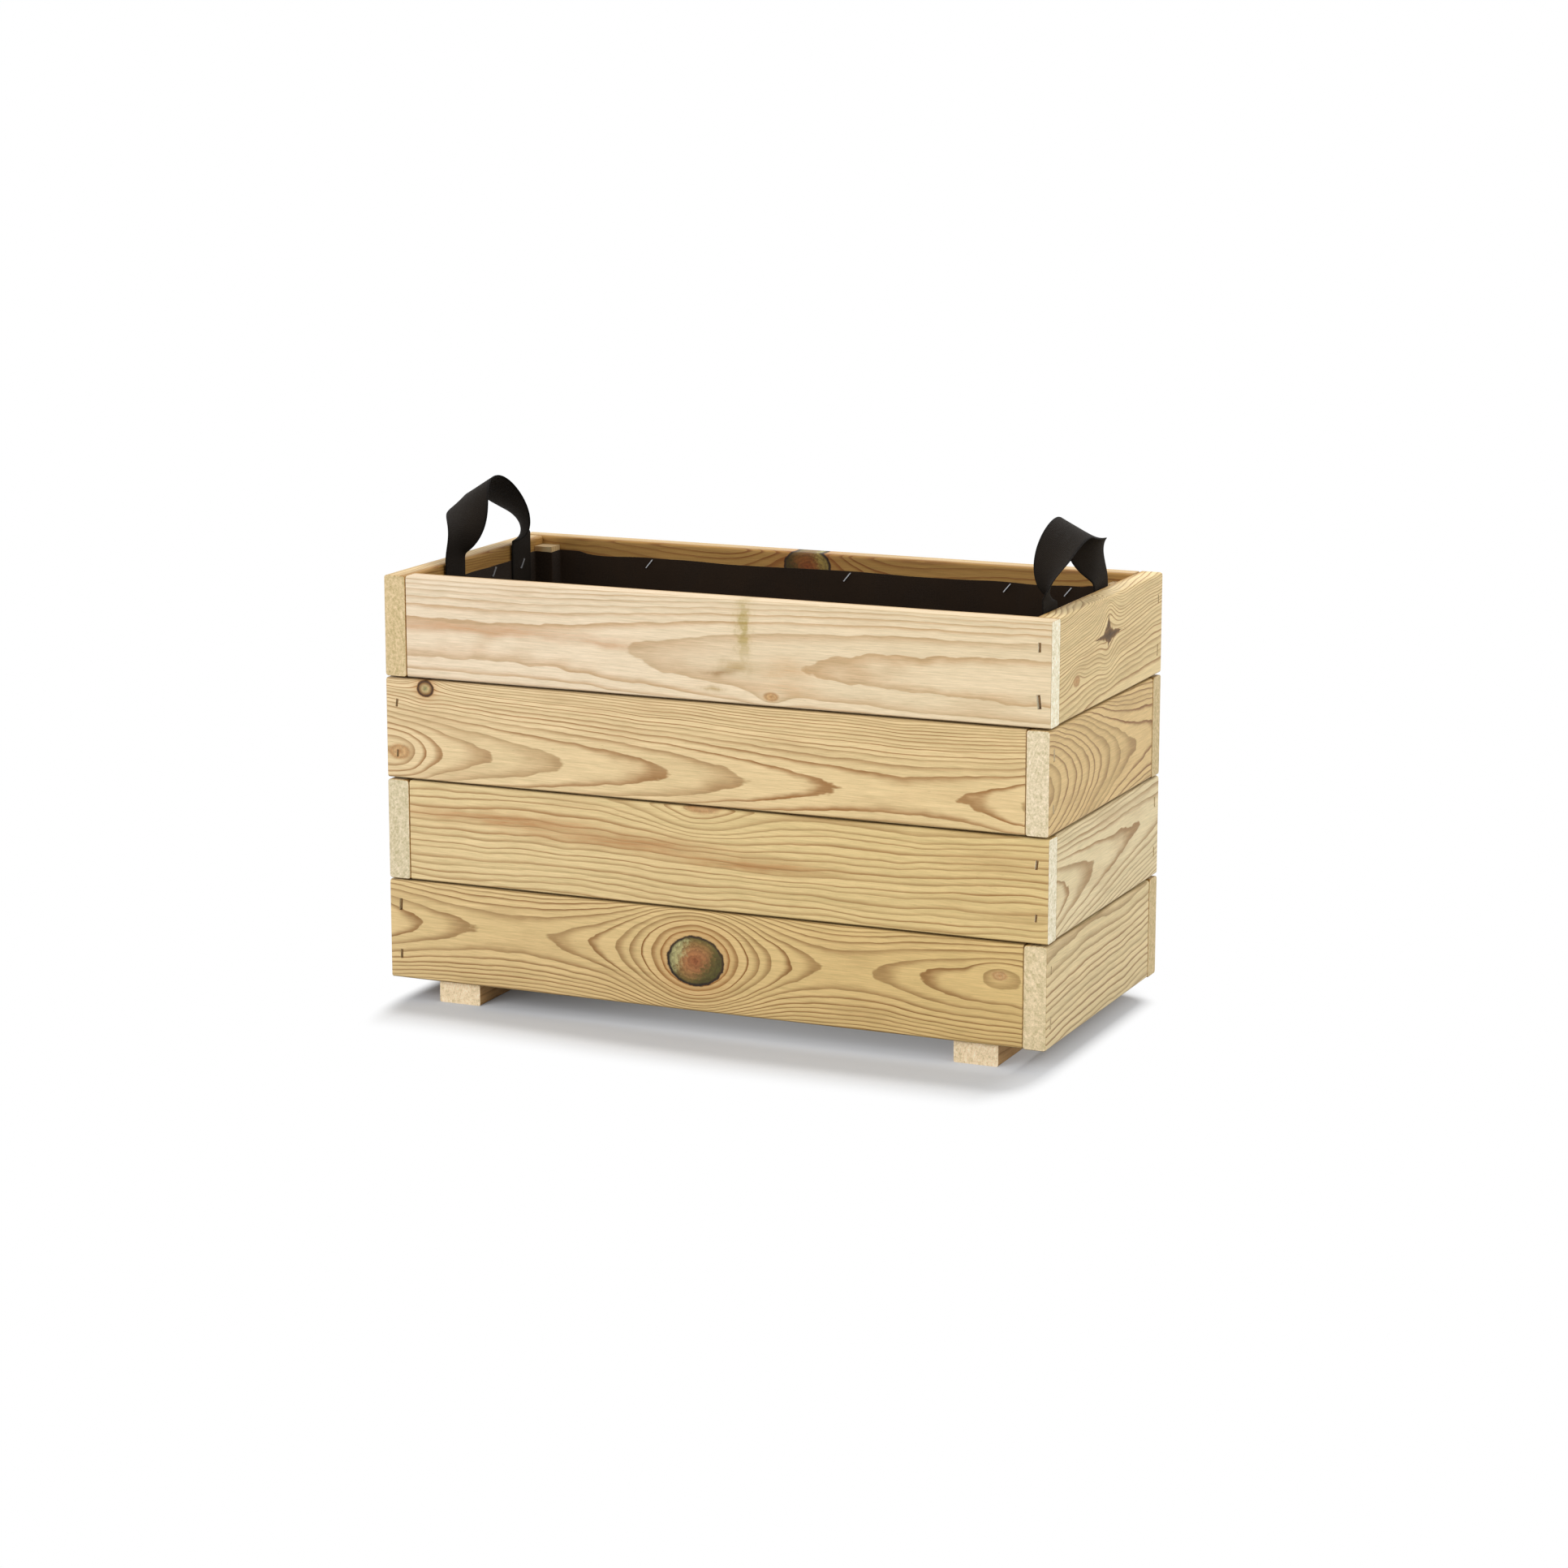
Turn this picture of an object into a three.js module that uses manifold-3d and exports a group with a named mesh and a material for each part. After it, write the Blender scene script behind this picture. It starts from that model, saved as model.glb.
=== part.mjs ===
// Wooden planter: an open box of planed pine boards stapled together in courses, on two feet, with a
// cloth liner inside and a webbing handle at each short end.
// Millimetres, +Z up, +X along the box, front towards -Y, origin on the floor under the middle.

import * as THREE from 'three';
import { mergeVertices } from 'three/addons/utils/BufferGeometryUtils.js';
import Module from 'manifold-3d';

const wasm = await Module();
wasm.setup();

// Walls: courses of four boards, each board butting against the next one's face
const boxLength = 650;
const boxDepth = 300;
const boardWidth = 95;
const boardThickness = 22;
const boardEdgeRadius = 3;
const courseCount = 4;
const courseGap = 0.5;

// Clearance between pieces that touch
const jointClearance = 0.3;

// Feet: battens from front to back
const footHeight = 20;
const footWidth = 42;
const footInset = 47;
const footSetback = 7;
const footEdgeRadius = 1.5;

// Corner posts, inside the walls, with their tops just below the rim
const postSize = 18;
const postBelowRim = 8.3;
const postAboveBase = 1;

// Floor slats, on the feet
const slatWidth = 60;
const slatThickness = 18;
const slatLeastGap = 12;
const slatEndGap = 0.5;
const slatEdgeRadius = 2;

// Cloth liner, slack between its staples
const linerThickness = 1;
const linerBelowRim = 15.5;
const linerSlack = 4;
const linerEdgeDip = 2;
const linerBendRadius = 2;

// Webbing handles: a loop above the rim and two tails inside the wall
const strapWidth = 38;
const strapThickness = 1.6;
const strapTailLength = 60;
const loopSpread = 134;
const loopSway = 5.2;
const loopHingeAboveRim = 1;
const loopSteps = 56;
const loopStrips = 6;
const loopFlatShare = 0.14;
const loopTwistLead = 0.13;
const loopFirstSteepness = 2.9;
const loopLastSteepness = 1.02;
const leftLoopRise = 62.5;
const leftLoopPoint = 0.45;
const leftLoopLean = 2.5;
const leftLoopOut = 6.9;
const leftLoopUpright = 0.3;
const leftLoopSqueeze = 0.21;
const leftLoopTwist = 122;
const leftHandleFromBend = 11.4;
const rightLoopRise = 62;
const rightLoopPoint = 0.35;
const rightLoopLean = 9.8;
const rightLoopOut = 0.5;
const rightLoopUpright = 0.14;
const rightLoopSqueeze = 0.05;
const rightLoopTwist = 116;
const rightHandleFromBend = 0.4;

// Slots of the staples in the wood: two in each corner joint, one wherever a foot crosses a timber
const stapleCrown = 11;
const stapleWire = 1.3;
const stapleSink = 0.6;
const cornerStapleShares = [0.25, 0.75];

// Finer staples that hold the cloth and the webbing
const tackCrown = 10.7;
const tackWire = 0.9;
const tackLeg = 10;
const tackLift = 0.05;
const tackSlant = 50;
const linerTackBelowRim = 21;
const handleTackBelowRim = 20.5;
const backTackShares = [-0.309, 0.033, 0.299, 0.398];
const frontTackShares = [-0.35, -0.11, 0.14, 0.36];
const endTackOffset = 12;

// Levels and inner sizes that follow from the above
const quarterTurn = Math.PI / 2;
const wallBase = footHeight + jointClearance;
const coursePitch = boardWidth + courseGap;
const rim = wallBase + courseCount * coursePitch - courseGap;
const innerLength = boxLength - 2 * boardThickness;
const innerDepth = boxDepth - 2 * boardThickness;
const postBase = wallBase + postAboveBase;
const postTop = rim - postBelowRim;
const slatBase = footHeight + jointClearance;
const slatTop = slatBase + slatThickness;
const linerTop = rim - linerBelowRim;
const linerBase = slatTop + jointClearance;
const strapToWall = 2 * jointClearance + linerThickness + strapThickness / 2;
const linerBendReach = 2 * jointClearance + postSize + linerBendRadius;
const handleRoom = (innerDepth - loopSpread - strapWidth) / 2 - linerBendReach;

const sides = [
  { name: 'front', turn: 0, span: boxLength, reach: boxDepth / 2 },
  { name: 'right', turn: 1, span: boxDepth, reach: boxLength / 2 },
  { name: 'back', turn: 2, span: boxLength, reach: boxDepth / 2 },
  { name: 'left', turn: 3, span: boxDepth, reach: boxLength / 2 },
];

// Materials
function matte(color, roughness, metalness = 0) {
  return new THREE.MeshStandardMaterial({ color, roughness, metalness });
}
const boardMaterials = [matte('#c9aa78', 0.6), matte('#cfb184', 0.6), matte('#d4b88c', 0.6), matte('#dcc8a2', 0.6)];
const innerTimber = matte('#c4a274', 0.65);
const footTimber = matte('#e4cfa8', 0.65);
const linerCloth = matte('#251c15', 0.95);
const webbing = matte('#26221b', 0.8);
const stapleSteel = matte('#a8a49c', 0.4, 0.9);

// Solids
function solidOf(geometry) {
  const bare = geometry.clone();
  bare.deleteAttribute('normal');
  bare.deleteAttribute('uv');
  const merged = mergeVertices(bare, 1e-4);
  return new wasm.Manifold(new wasm.Mesh({
    numProp: 3,
    vertProperties: new Float32Array(merged.attributes.position.array),
    triVerts: new Uint32Array(merged.index.array),
  }));
}

function geometryOf(solid) {
  const mesh = solid.getMesh();
  const geometry = new THREE.BufferGeometry();
  geometry.setAttribute('position', new THREE.BufferAttribute(new Float32Array(mesh.vertProperties), 3));
  geometry.setIndex(new THREE.BufferAttribute(new Uint32Array(mesh.triVerts), 1));
  geometry.computeVertexNormals();
  return geometry;
}

// A planed timber along X with rounded long edges, centred in length and thickness, standing on z = 0
function timberGeometry(length, thickness, width, edgeRadius) {
  const outline = new THREE.Shape();
  const x = thickness / 2 - edgeRadius;
  const low = edgeRadius;
  const high = width - edgeRadius;
  outline.absarc(x, low, edgeRadius, -quarterTurn, 0, false);
  outline.absarc(x, high, edgeRadius, 0, quarterTurn, false);
  outline.absarc(-x, high, edgeRadius, quarterTurn, 2 * quarterTurn, false);
  outline.absarc(-x, low, edgeRadius, 2 * quarterTurn, 3 * quarterTurn, false);
  outline.closePath();
  const geometry = new THREE.ExtrudeGeometry(outline, { depth: length, bevelEnabled: false, curveSegments: 3 });
  geometry.translate(0, 0, -length / 2);
  const lengthAlongX = new THREE.Matrix4().set(0, 0, 1, 0, 1, 0, 0, 0, 0, 1, 0, 0, 0, 0, 0, 1);
  geometry.applyMatrix4(lengthAlongX);
  return geometry;
}

// A staple with its crown along X, the crown's outer face at z = 0 and its legs down along -Z.
// With a margin it is the hole that the staple makes.
function stapleGeometry(crown, wire, leg, margin = 0) {
  const outer = crown / 2 + margin;
  const inner = crown / 2 - wire - margin;
  const underCrown = -wire - margin;
  const tip = -leg - margin;
  const outline = new THREE.Shape();
  outline.moveTo(-outer, tip);
  outline.lineTo(-inner, tip);
  outline.lineTo(-inner, underCrown);
  outline.lineTo(inner, underCrown);
  outline.lineTo(inner, tip);
  outline.lineTo(outer, tip);
  outline.lineTo(outer, margin);
  outline.lineTo(-outer, margin);
  outline.closePath();
  const depth = wire + 2 * margin;
  const geometry = new THREE.ExtrudeGeometry(outline, { depth, bevelEnabled: false });
  geometry.translate(0, 0, -depth / 2);
  geometry.rotateX(quarterTurn);
  return geometry;
}

// The open slot that a sunk crown lies in, with the wood's surface at z = 0
function slotGeometry() {
  const length = stapleCrown + 2 * jointClearance;
  const width = stapleWire + 2 * jointClearance;
  const depth = stapleSink + stapleWire + jointClearance;
  return new THREE.BoxGeometry(length, width, 2 * depth);
}

// Scene
const planter = new THREE.Group();
planter.name = 'planter';

function addMesh(parent, name, geometry, material, x = 0, y = 0, z = 0) {
  const mesh = new THREE.Mesh(geometry, material);
  mesh.name = name;
  mesh.position.set(x, y, z);
  parent.add(mesh);
  return mesh;
}

// Wall boards: the joints turn the other way round from one course to the next
const timbers = [];
const sideGroups = sides.map((side) => {
  const group = new THREE.Group();
  group.rotation.z = side.turn * quarterTurn;
  planter.add(group);
  return group;
});
function cornerSign(course) {
  return course % 2 === 1 ? 1 : -1;
}
sides.forEach((side, index) => {
  const length = side.span - boardThickness - jointClearance;
  for (let course = 0; course < courseCount; course += 1) {
    const shift = cornerSign(course) * (boardThickness + jointClearance) / 2;
    const geometry = timberGeometry(length, boardThickness, boardWidth, boardEdgeRadius);
    const material = boardMaterials[course % boardMaterials.length];
    const name = `${side.name}_board_${course + 1}`;
    const y = boardThickness / 2 - side.reach;
    timbers.push(addMesh(sideGroups[index], name, geometry, material, shift, y, wallBase + course * coursePitch));
  }
});

// Corner posts
const postX = innerLength / 2 - jointClearance - postSize / 2;
const postY = innerDepth / 2 - jointClearance - postSize / 2;
const corners = [
  { name: 'front_left', x: -1, y: -1 },
  { name: 'front_right', x: 1, y: -1 },
  { name: 'back_right', x: 1, y: 1 },
  { name: 'back_left', x: -1, y: 1 },
];
for (const corner of corners) {
  const geometry = new THREE.BoxGeometry(postSize, postSize, postTop - postBase);
  const middle = (postTop + postBase) / 2;
  const name = `corner_post_${corner.name}`;
  timbers.push(addMesh(planter, name, geometry, innerTimber, corner.x * postX, corner.y * postY, middle));
}

// Feet
const footLength = boxDepth - 2 * footSetback;
const footX = boxLength / 2 - footInset - footWidth / 2;
for (const [name, sign] of [['foot_left', -1], ['foot_right', 1]]) {
  const geometry = timberGeometry(footLength, footWidth, footHeight, footEdgeRadius);
  const foot = addMesh(planter, name, geometry, footTimber, sign * footX, 0, 0);
  foot.rotation.z = quarterTurn;
  timbers.push(foot);
}

// Floor slats, as many as fit between the corner posts
const slatSpread = 2 * (postY - postSize / 2 - slatEndGap);
const slatCount = Math.max(1, Math.floor((slatSpread + slatLeastGap) / (slatWidth + slatLeastGap)));
const slatPitch = slatCount > 1 ? (slatSpread - slatWidth) / (slatCount - 1) : 0;
const slatCentres = [];
for (let index = 0; index < slatCount; index += 1) {
  slatCentres.push((index - (slatCount - 1) / 2) * slatPitch);
}
slatCentres.forEach((y, index) => {
  const geometry = timberGeometry(innerLength - 2 * slatEndGap, slatWidth, slatThickness, slatEdgeRadius);
  timbers.push(addMesh(planter, `floor_slat_${index + 1}`, geometry, innerTimber, 0, y, slatBase));
});

// Liner: one shell of cloth that follows the walls and goes round the posts. Between two staples the
// long sides hang slack, away from the wall, and the top edge dips.
const slackLevels = [
  { share: 0, slack: 0.55, dip: 1 },
  { share: 0.1, slack: 1, dip: 0.5 },
  { share: 0.3, slack: 0.9, dip: 0 },
  { share: 0.6, slack: 0.5, dip: 0 },
  { share: 1, slack: 0, dip: 0 },
];

// One corner of the liner's outline: from the front wall round the post to the right-hand wall
function cornerOutline() {
  const wallX = innerLength / 2 - jointClearance;
  const wallY = -(innerDepth / 2 - jointClearance);
  const corner = new THREE.Vector2(wallX - postSize, wallY + postSize);
  const bend = (x, y) => {
    const arc = new THREE.EllipseCurve(x, y, linerBendRadius, linerBendRadius, -quarterTurn, 0, false);
    return arc.getPoints(4);
  };
  const beforePost = bend(corner.x - jointClearance - linerBendRadius, wallY + linerBendRadius);
  const roundEdge = new THREE.EllipseCurve(
    corner.x, corner.y, jointClearance, jointClearance, 2 * quarterTurn, quarterTurn, true,
  );
  const afterPost = bend(wallX - linerBendRadius, corner.y + jointClearance + linerBendRadius);
  return [...beforePost, ...roundEdge.getPoints(2), ...afterPost];
}

// One long side between two corners: points on the wall with the slack that each one has
function slackSide(from, to, shares) {
  const anchors = [from, ...shares.map((share) => share * innerLength), to];
  const side = [];
  for (let bay = 0; bay < anchors.length - 1; bay += 1) {
    const steps = Math.max(2, Math.round((anchors[bay + 1] - anchors[bay]) / 25));
    for (let step = bay === 0 ? 1 : 0; step < steps; step += 1) {
      const along = THREE.MathUtils.lerp(anchors[bay], anchors[bay + 1], step / steps);
      side.push({ along, slack: Math.sin(Math.PI * step / steps) ** 2 });
    }
  }
  return side;
}

function linerOutline() {
  const corner = cornerOutline().map((point) => ({ x: point.x, y: point.y, slack: 0 }));
  const mirrored = (signX, signY) => corner.map((p) => ({ ...p, x: signX * p.x, y: signY * p.y }));
  const reach = corner[0].x;
  const wallY = innerDepth / 2 - jointClearance;
  const front = slackSide(-reach, reach, frontTackShares);
  const back = slackSide(-reach, reach, backTackShares).toReversed();
  return [
    ...front.map(({ along, slack }) => ({ x: along, y: -wallY, slack })),
    ...mirrored(1, 1),
    ...mirrored(1, -1).toReversed(),
    ...back.map(({ along, slack }) => ({ x: along, y: wallY, slack })),
    ...mirrored(-1, -1),
    ...mirrored(-1, 1).toReversed(),
  ];
}

function linerRing(outline, level, inset) {
  const placed = outline.map((p) => {
    const inward = -Math.sign(p.y) * linerSlack * level.slack * p.slack;
    return new THREE.Vector2(p.x, p.y + inward);
  });
  return placed.map((point, index) => {
    const before = placed.at(index - 1);
    const after = placed[(index + 1) % placed.length];
    const along = after.clone().sub(before).normalize();
    const top = linerTop - linerEdgeDip * level.dip * outline[index].slack;
    const bottom = linerBase + inset;
    const z = THREE.MathUtils.lerp(top, bottom, level.share);
    return new THREE.Vector3(point.x - along.y * inset, point.y + along.x * inset, z);
  });
}

function linerGeometry() {
  const outline = linerOutline();
  const count = outline.length;
  const outside = slackLevels.map((level) => linerRing(outline, level, 0));
  const inside = slackLevels.map((level) => linerRing(outline, level, linerThickness));
  const points = [...outside, ...inside].flat().flatMap((point) => [point.x, point.y, point.z]);
  const faces = [];
  const firstInside = slackLevels.length * count;
  const quad = (a, b, c, d) => faces.push(a, b, c, a, c, d);
  for (let index = 0; index < count; index += 1) {
    const next = (index + 1) % count;
    for (let level = 0; level < slackLevels.length - 1; level += 1) {
      const above = level * count;
      const below = above + count;
      quad(below + index, below + next, above + next, above + index);
      const aboveIn = firstInside + above;
      const belowIn = firstInside + below;
      quad(belowIn + next, belowIn + index, aboveIn + index, aboveIn + next);
    }
    quad(index, next, firstInside + next, firstInside + index);
  }
  const flat = (ring) => ring.map((point) => new THREE.Vector2(point.x, point.y));
  const lastOutside = (slackLevels.length - 1) * count;
  const lastInside = firstInside + lastOutside;
  for (const [a, b, c] of THREE.ShapeUtils.triangulateShape(flat(outside.at(-1)), [])) {
    faces.push(lastOutside + a, lastOutside + c, lastOutside + b);
  }
  for (const [a, b, c] of THREE.ShapeUtils.triangulateShape(flat(inside.at(-1)), [])) {
    faces.push(lastInside + a, lastInside + b, lastInside + c);
  }
  const geometry = new THREE.BufferGeometry();
  geometry.setAttribute('position', new THREE.Float32BufferAttribute(points, 3));
  geometry.setIndex(faces);
  geometry.computeVertexNormals();
  return geometry;
}
const liner = addMesh(planter, 'liner', linerGeometry(), linerCloth);

// Handles: the loop is a flat strap that rises to a blunt point and turns over as it goes. Its legs
// leave the hinge line flat, and only then begin to turn.
const leftLoop = {
  rise: leftLoopRise,
  point: leftLoopPoint,
  lean: leftLoopLean,
  out: leftLoopOut,
  upright: leftLoopUpright,
  squeeze: leftLoopSqueeze,
  twist: leftLoopTwist,
};
const rightLoop = {
  rise: rightLoopRise,
  point: rightLoopPoint,
  lean: rightLoopLean,
  out: rightLoopOut,
  upright: rightLoopUpright,
  squeeze: rightLoopSqueeze,
  twist: rightLoopTwist,
};

function loopCentre(angle, loop) {
  const side = Math.max(0, Math.sin(angle));
  const swing = Math.sin(2 * angle);
  const reach = loopSpread / 2 * (1 + loop.upright * side ** 2 - loop.squeeze * side ** 4);
  return new THREE.Vector3(
    loopSway * swing * swing - loop.out * side * side,
    loop.lean * side ** 4 - reach * Math.cos(angle),
    loop.rise * side * (1 - loop.point + loop.point * side ** 3),
  );
}

function loopStation(angle, loop) {
  const side = Math.max(0, Math.sin(angle));
  const along = Math.cos(angle);
  const centre = loopCentre(angle, loop);
  const tangent = new THREE.Vector3(0, 0, along);
  if (side > 1e-6) {
    tangent.copy(loopCentre(angle + 1e-3, loop)).sub(loopCentre(angle - 1e-3, loop)).normalize();
  }
  const lead = angle + loopTwistLead * side * side;
  const steepness = lead < quarterTurn ? loopFirstSteepness : loopLastSteepness;
  const raised = Math.max(0, (Math.sin(lead) - loopFlatShare) / (1 - loopFlatShare));
  const turn = THREE.MathUtils.degToRad(90 - loop.twist * raised ** steepness);
  const across = new THREE.Vector3(Math.cos(turn), Math.sin(turn) * along, -Math.sin(turn) * side);
  across.addScaledVector(tangent, -across.dot(tangent)).normalize();
  const facing = tangent.clone().cross(across);
  return { centre, across, facing };
}

// The strap's legs end half-round about the hinge line, so that the loop can swing over its tails
function loopGeometry(loop) {
  const stations = [];
  const roundings = [60, 30];
  const hingeStation = (angle, rounding) => {
    const station = loopStation(angle, loop);
    const radians = THREE.MathUtils.degToRad(rounding);
    station.centre.z = -strapThickness / 2 * Math.sin(radians);
    station.share = Math.cos(radians);
    return station;
  };
  roundings.forEach((rounding) => stations.push(hingeStation(0, rounding)));
  for (let step = 0; step <= loopSteps; step += 1) {
    stations.push({ ...loopStation(Math.PI * step / loopSteps, loop), share: 1 });
  }
  roundings.toReversed().forEach((rounding) => stations.push(hingeStation(Math.PI, rounding)));
  const points = [];
  const across = Array.from({ length: loopStrips + 1 }, (_, index) => 1 - 2 * index / loopStrips);
  const ring = [...across.map((wide) => [wide, 1]), ...across.toReversed().map((wide) => [wide, -1])];
  for (const station of stations) {
    for (const [wide, thick] of ring) {
      const point = station.centre.clone();
      point.addScaledVector(station.across, wide * strapWidth / 2);
      point.addScaledVector(station.facing, thick * station.share * strapThickness / 2);
      points.push(point.x, point.y, point.z);
    }
  }
  const count = ring.length;
  const last = count * (stations.length - 1);
  const faces = [];
  for (let base = 0; base < last; base += count) {
    for (let side = 0; side < count; side += 1) {
      const here = base + side;
      const next = base + (side + 1) % count;
      if (side <= loopStrips) {
        faces.push(here, next, next + count, here, next + count, here + count);
      } else {
        faces.push(here, next, here + count, next, next + count, here + count);
      }
    }
  }
  for (let strip = 0; strip < loopStrips; strip += 1) {
    const over = strip + 1;
    const below = count - 1 - strip;
    faces.push(strip, below, below - 1, strip, below - 1, over);
    faces.push(last + strip, last + over, last + below - 1, last + strip, last + below - 1, last + below);
  }
  const geometry = new THREE.BufferGeometry();
  geometry.setAttribute('position', new THREE.Float32BufferAttribute(points, 3));
  geometry.setIndex(faces);
  geometry.computeVertexNormals();
  return geometry;
}

// A tail hangs from the origin, with a half-round top end for the loop to swing over
function tailGeometry() {
  const half = strapThickness / 2;
  const outline = new THREE.Shape();
  outline.moveTo(-half, -strapTailLength);
  outline.lineTo(half, -strapTailLength);
  outline.absarc(0, -half, half, 0, Math.PI, false);
  outline.closePath();
  const geometry = new THREE.ExtrudeGeometry(outline, {
    depth: strapWidth,
    bevelEnabled: false,
    curveSegments: 6,
  });
  geometry.translate(0, 0, -strapWidth / 2);
  geometry.rotateX(quarterTurn);
  return geometry;
}

const handles = [
  { name: 'left', sign: -1, offset: handleRoom - leftHandleFromBend, loop: leftLoop },
  { name: 'right', sign: 1, offset: rightHandleFromBend - handleRoom, loop: rightLoop },
];
const tails = [];
const tailTop = loopHingeAboveRim - strapThickness / 2 - jointClearance;
for (const handle of handles) {
  const seat = new THREE.Group();
  seat.position.set(handle.sign * (innerLength / 2 - strapToWall), handle.offset, rim);
  seat.rotation.z = handle.sign < 0 ? 0 : Math.PI;
  planter.add(seat);
  addMesh(seat, `handle_${handle.name}`, loopGeometry(handle.loop), webbing, 0, 0, loopHingeAboveRim);
  for (const [end, sign] of [['front', -1], ['back', 1]]) {
    const y = -sign * handle.sign * loopSpread / 2;
    tails.push(addMesh(seat, `handle_${handle.name}_tail_${end}`, tailGeometry(), webbing, 0, y, tailTop));
  }
}

// Staples: what each one leaves in the pieces that it enters is cut at the end
const cuts = [];
const up = new THREE.Vector3(0, 0, 1);
function stapleFrame(position, outward, crownLine) {
  const acrossWire = outward.clone().cross(crownLine);
  return new THREE.Matrix4().makeBasis(crownLine, acrossWire, outward).setPosition(position);
}

// Corner joints: slots in the face of the covering board, over the end grain of the other
for (const side of sides) {
  const turn = side.turn * quarterTurn;
  const outward = new THREE.Vector3(0, -1, 0).applyAxisAngle(up, turn);
  for (let course = 0; course < courseCount; course += 1) {
    for (const share of cornerStapleShares) {
      const x = cornerSign(course) * (side.span - boardThickness) / 2;
      const z = wallBase + course * coursePitch + share * boardWidth;
      const position = new THREE.Vector3(x, -side.reach, z).applyAxisAngle(up, turn);
      cuts.push(slotGeometry().applyMatrix4(stapleFrame(position, outward, up)));
    }
  }
}

// Feet: slots in the underside, below the front board, the back board and every slat
const boardOverFoot = boxDepth / 2 - (footSetback + boardThickness) / 2;
for (const sign of [-1, 1]) {
  for (const y of [-boardOverFoot, ...slatCentres, boardOverFoot]) {
    const position = new THREE.Vector3(sign * footX, y, 0);
    const frame = stapleFrame(position, new THREE.Vector3(0, 0, -1), new THREE.Vector3(1, 0, 0));
    cuts.push(slotGeometry().applyMatrix4(frame));
  }
}

// Cloth and webbing: staples on a slant, with the crown lying on the face and the legs in the wall
function addTack(name, position, inward, leg) {
  const level = up.clone().cross(inward);
  level.applyAxisAngle(inward, THREE.MathUtils.degToRad(tackSlant));
  const frame = stapleFrame(position, inward, level);
  const tack = addMesh(planter, name, stapleGeometry(tackCrown, tackWire, leg), stapleSteel);
  tack.applyMatrix4(frame);
  cuts.push(stapleGeometry(tackCrown, tackWire, leg, jointClearance).applyMatrix4(frame));
}
const tackOnCloth = 2 * jointClearance + linerThickness + tackLift + tackWire;
const tackOnStrap = tackOnCloth + jointClearance + strapThickness;
const linerTackLevel = rim - linerTackBelowRim;
for (const [name, sign, shares] of [['front', -1, frontTackShares], ['back', 1, backTackShares]]) {
  const inward = new THREE.Vector3(0, -sign, 0);
  const y = sign * (innerDepth / 2 - tackOnCloth);
  shares.forEach((share, index) => {
    const position = new THREE.Vector3(share * innerLength, y, linerTackLevel);
    addTack(`liner_staple_${name}_${index + 1}`, position, inward, tackLeg);
  });
}
for (const handle of handles) {
  const inward = new THREE.Vector3(-handle.sign, 0, 0);
  const onCloth = handle.sign * (innerLength / 2 - tackOnCloth);
  const onStrap = handle.sign * (innerLength / 2 - tackOnStrap);
  const middle = new THREE.Vector3(onCloth, handle.offset + endTackOffset, linerTackLevel);
  addTack(`liner_staple_${handle.name}`, middle, inward, tackLeg);
  for (const [end, side] of [['front', -1], ['back', 1]]) {
    const y = handle.offset + side * loopSpread / 2;
    const position = new THREE.Vector3(onStrap, y, rim - handleTackBelowRim);
    addTack(`handle_staple_${handle.name}_${end}`, position, inward, tackLeg + strapThickness);
  }
}

// Cut the slots and the staples' holes
planter.updateMatrixWorld(true);
const cutBoxes = cuts.map((cut) => {
  cut.computeBoundingBox();
  return cut.boundingBox;
});
for (const piece of [...timbers, liner, ...tails]) {
  const reach = new THREE.Box3().setFromObject(piece);
  const intoPiece = piece.matrixWorld.clone().invert();
  const entering = cuts.filter((cut, index) => cutBoxes[index].intersectsBox(reach));
  let solid = solidOf(piece.geometry);
  for (const cut of entering) {
    solid = solid.subtract(solidOf(cut.clone().applyMatrix4(intoPiece)));
  }
  piece.geometry = geometryOf(solid);
}

export default planter;
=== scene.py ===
# Wooden planter: planed pine boards stapled together, a cloth liner and two webbing handles.
# Metres, +Z up, +X along the box, front towards -Y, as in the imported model.

import math
import random

import bmesh
import bpy
from mathutils import Matrix, Vector, noise


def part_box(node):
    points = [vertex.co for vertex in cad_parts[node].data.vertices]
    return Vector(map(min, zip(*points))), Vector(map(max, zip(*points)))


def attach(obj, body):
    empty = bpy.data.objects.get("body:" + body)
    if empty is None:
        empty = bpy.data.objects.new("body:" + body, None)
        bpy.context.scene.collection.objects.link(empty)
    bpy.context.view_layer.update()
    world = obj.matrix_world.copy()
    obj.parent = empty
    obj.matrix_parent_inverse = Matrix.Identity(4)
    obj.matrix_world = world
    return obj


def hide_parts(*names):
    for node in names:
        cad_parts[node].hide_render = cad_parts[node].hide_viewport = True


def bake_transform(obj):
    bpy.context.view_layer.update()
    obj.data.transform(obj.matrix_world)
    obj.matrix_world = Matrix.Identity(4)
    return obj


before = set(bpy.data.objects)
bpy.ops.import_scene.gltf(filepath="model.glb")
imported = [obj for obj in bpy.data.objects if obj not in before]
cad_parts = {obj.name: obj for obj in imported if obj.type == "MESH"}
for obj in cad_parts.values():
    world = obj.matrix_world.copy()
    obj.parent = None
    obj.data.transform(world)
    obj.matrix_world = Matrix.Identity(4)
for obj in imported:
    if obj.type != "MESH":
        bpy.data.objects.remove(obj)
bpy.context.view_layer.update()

MM = 0.001

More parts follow.
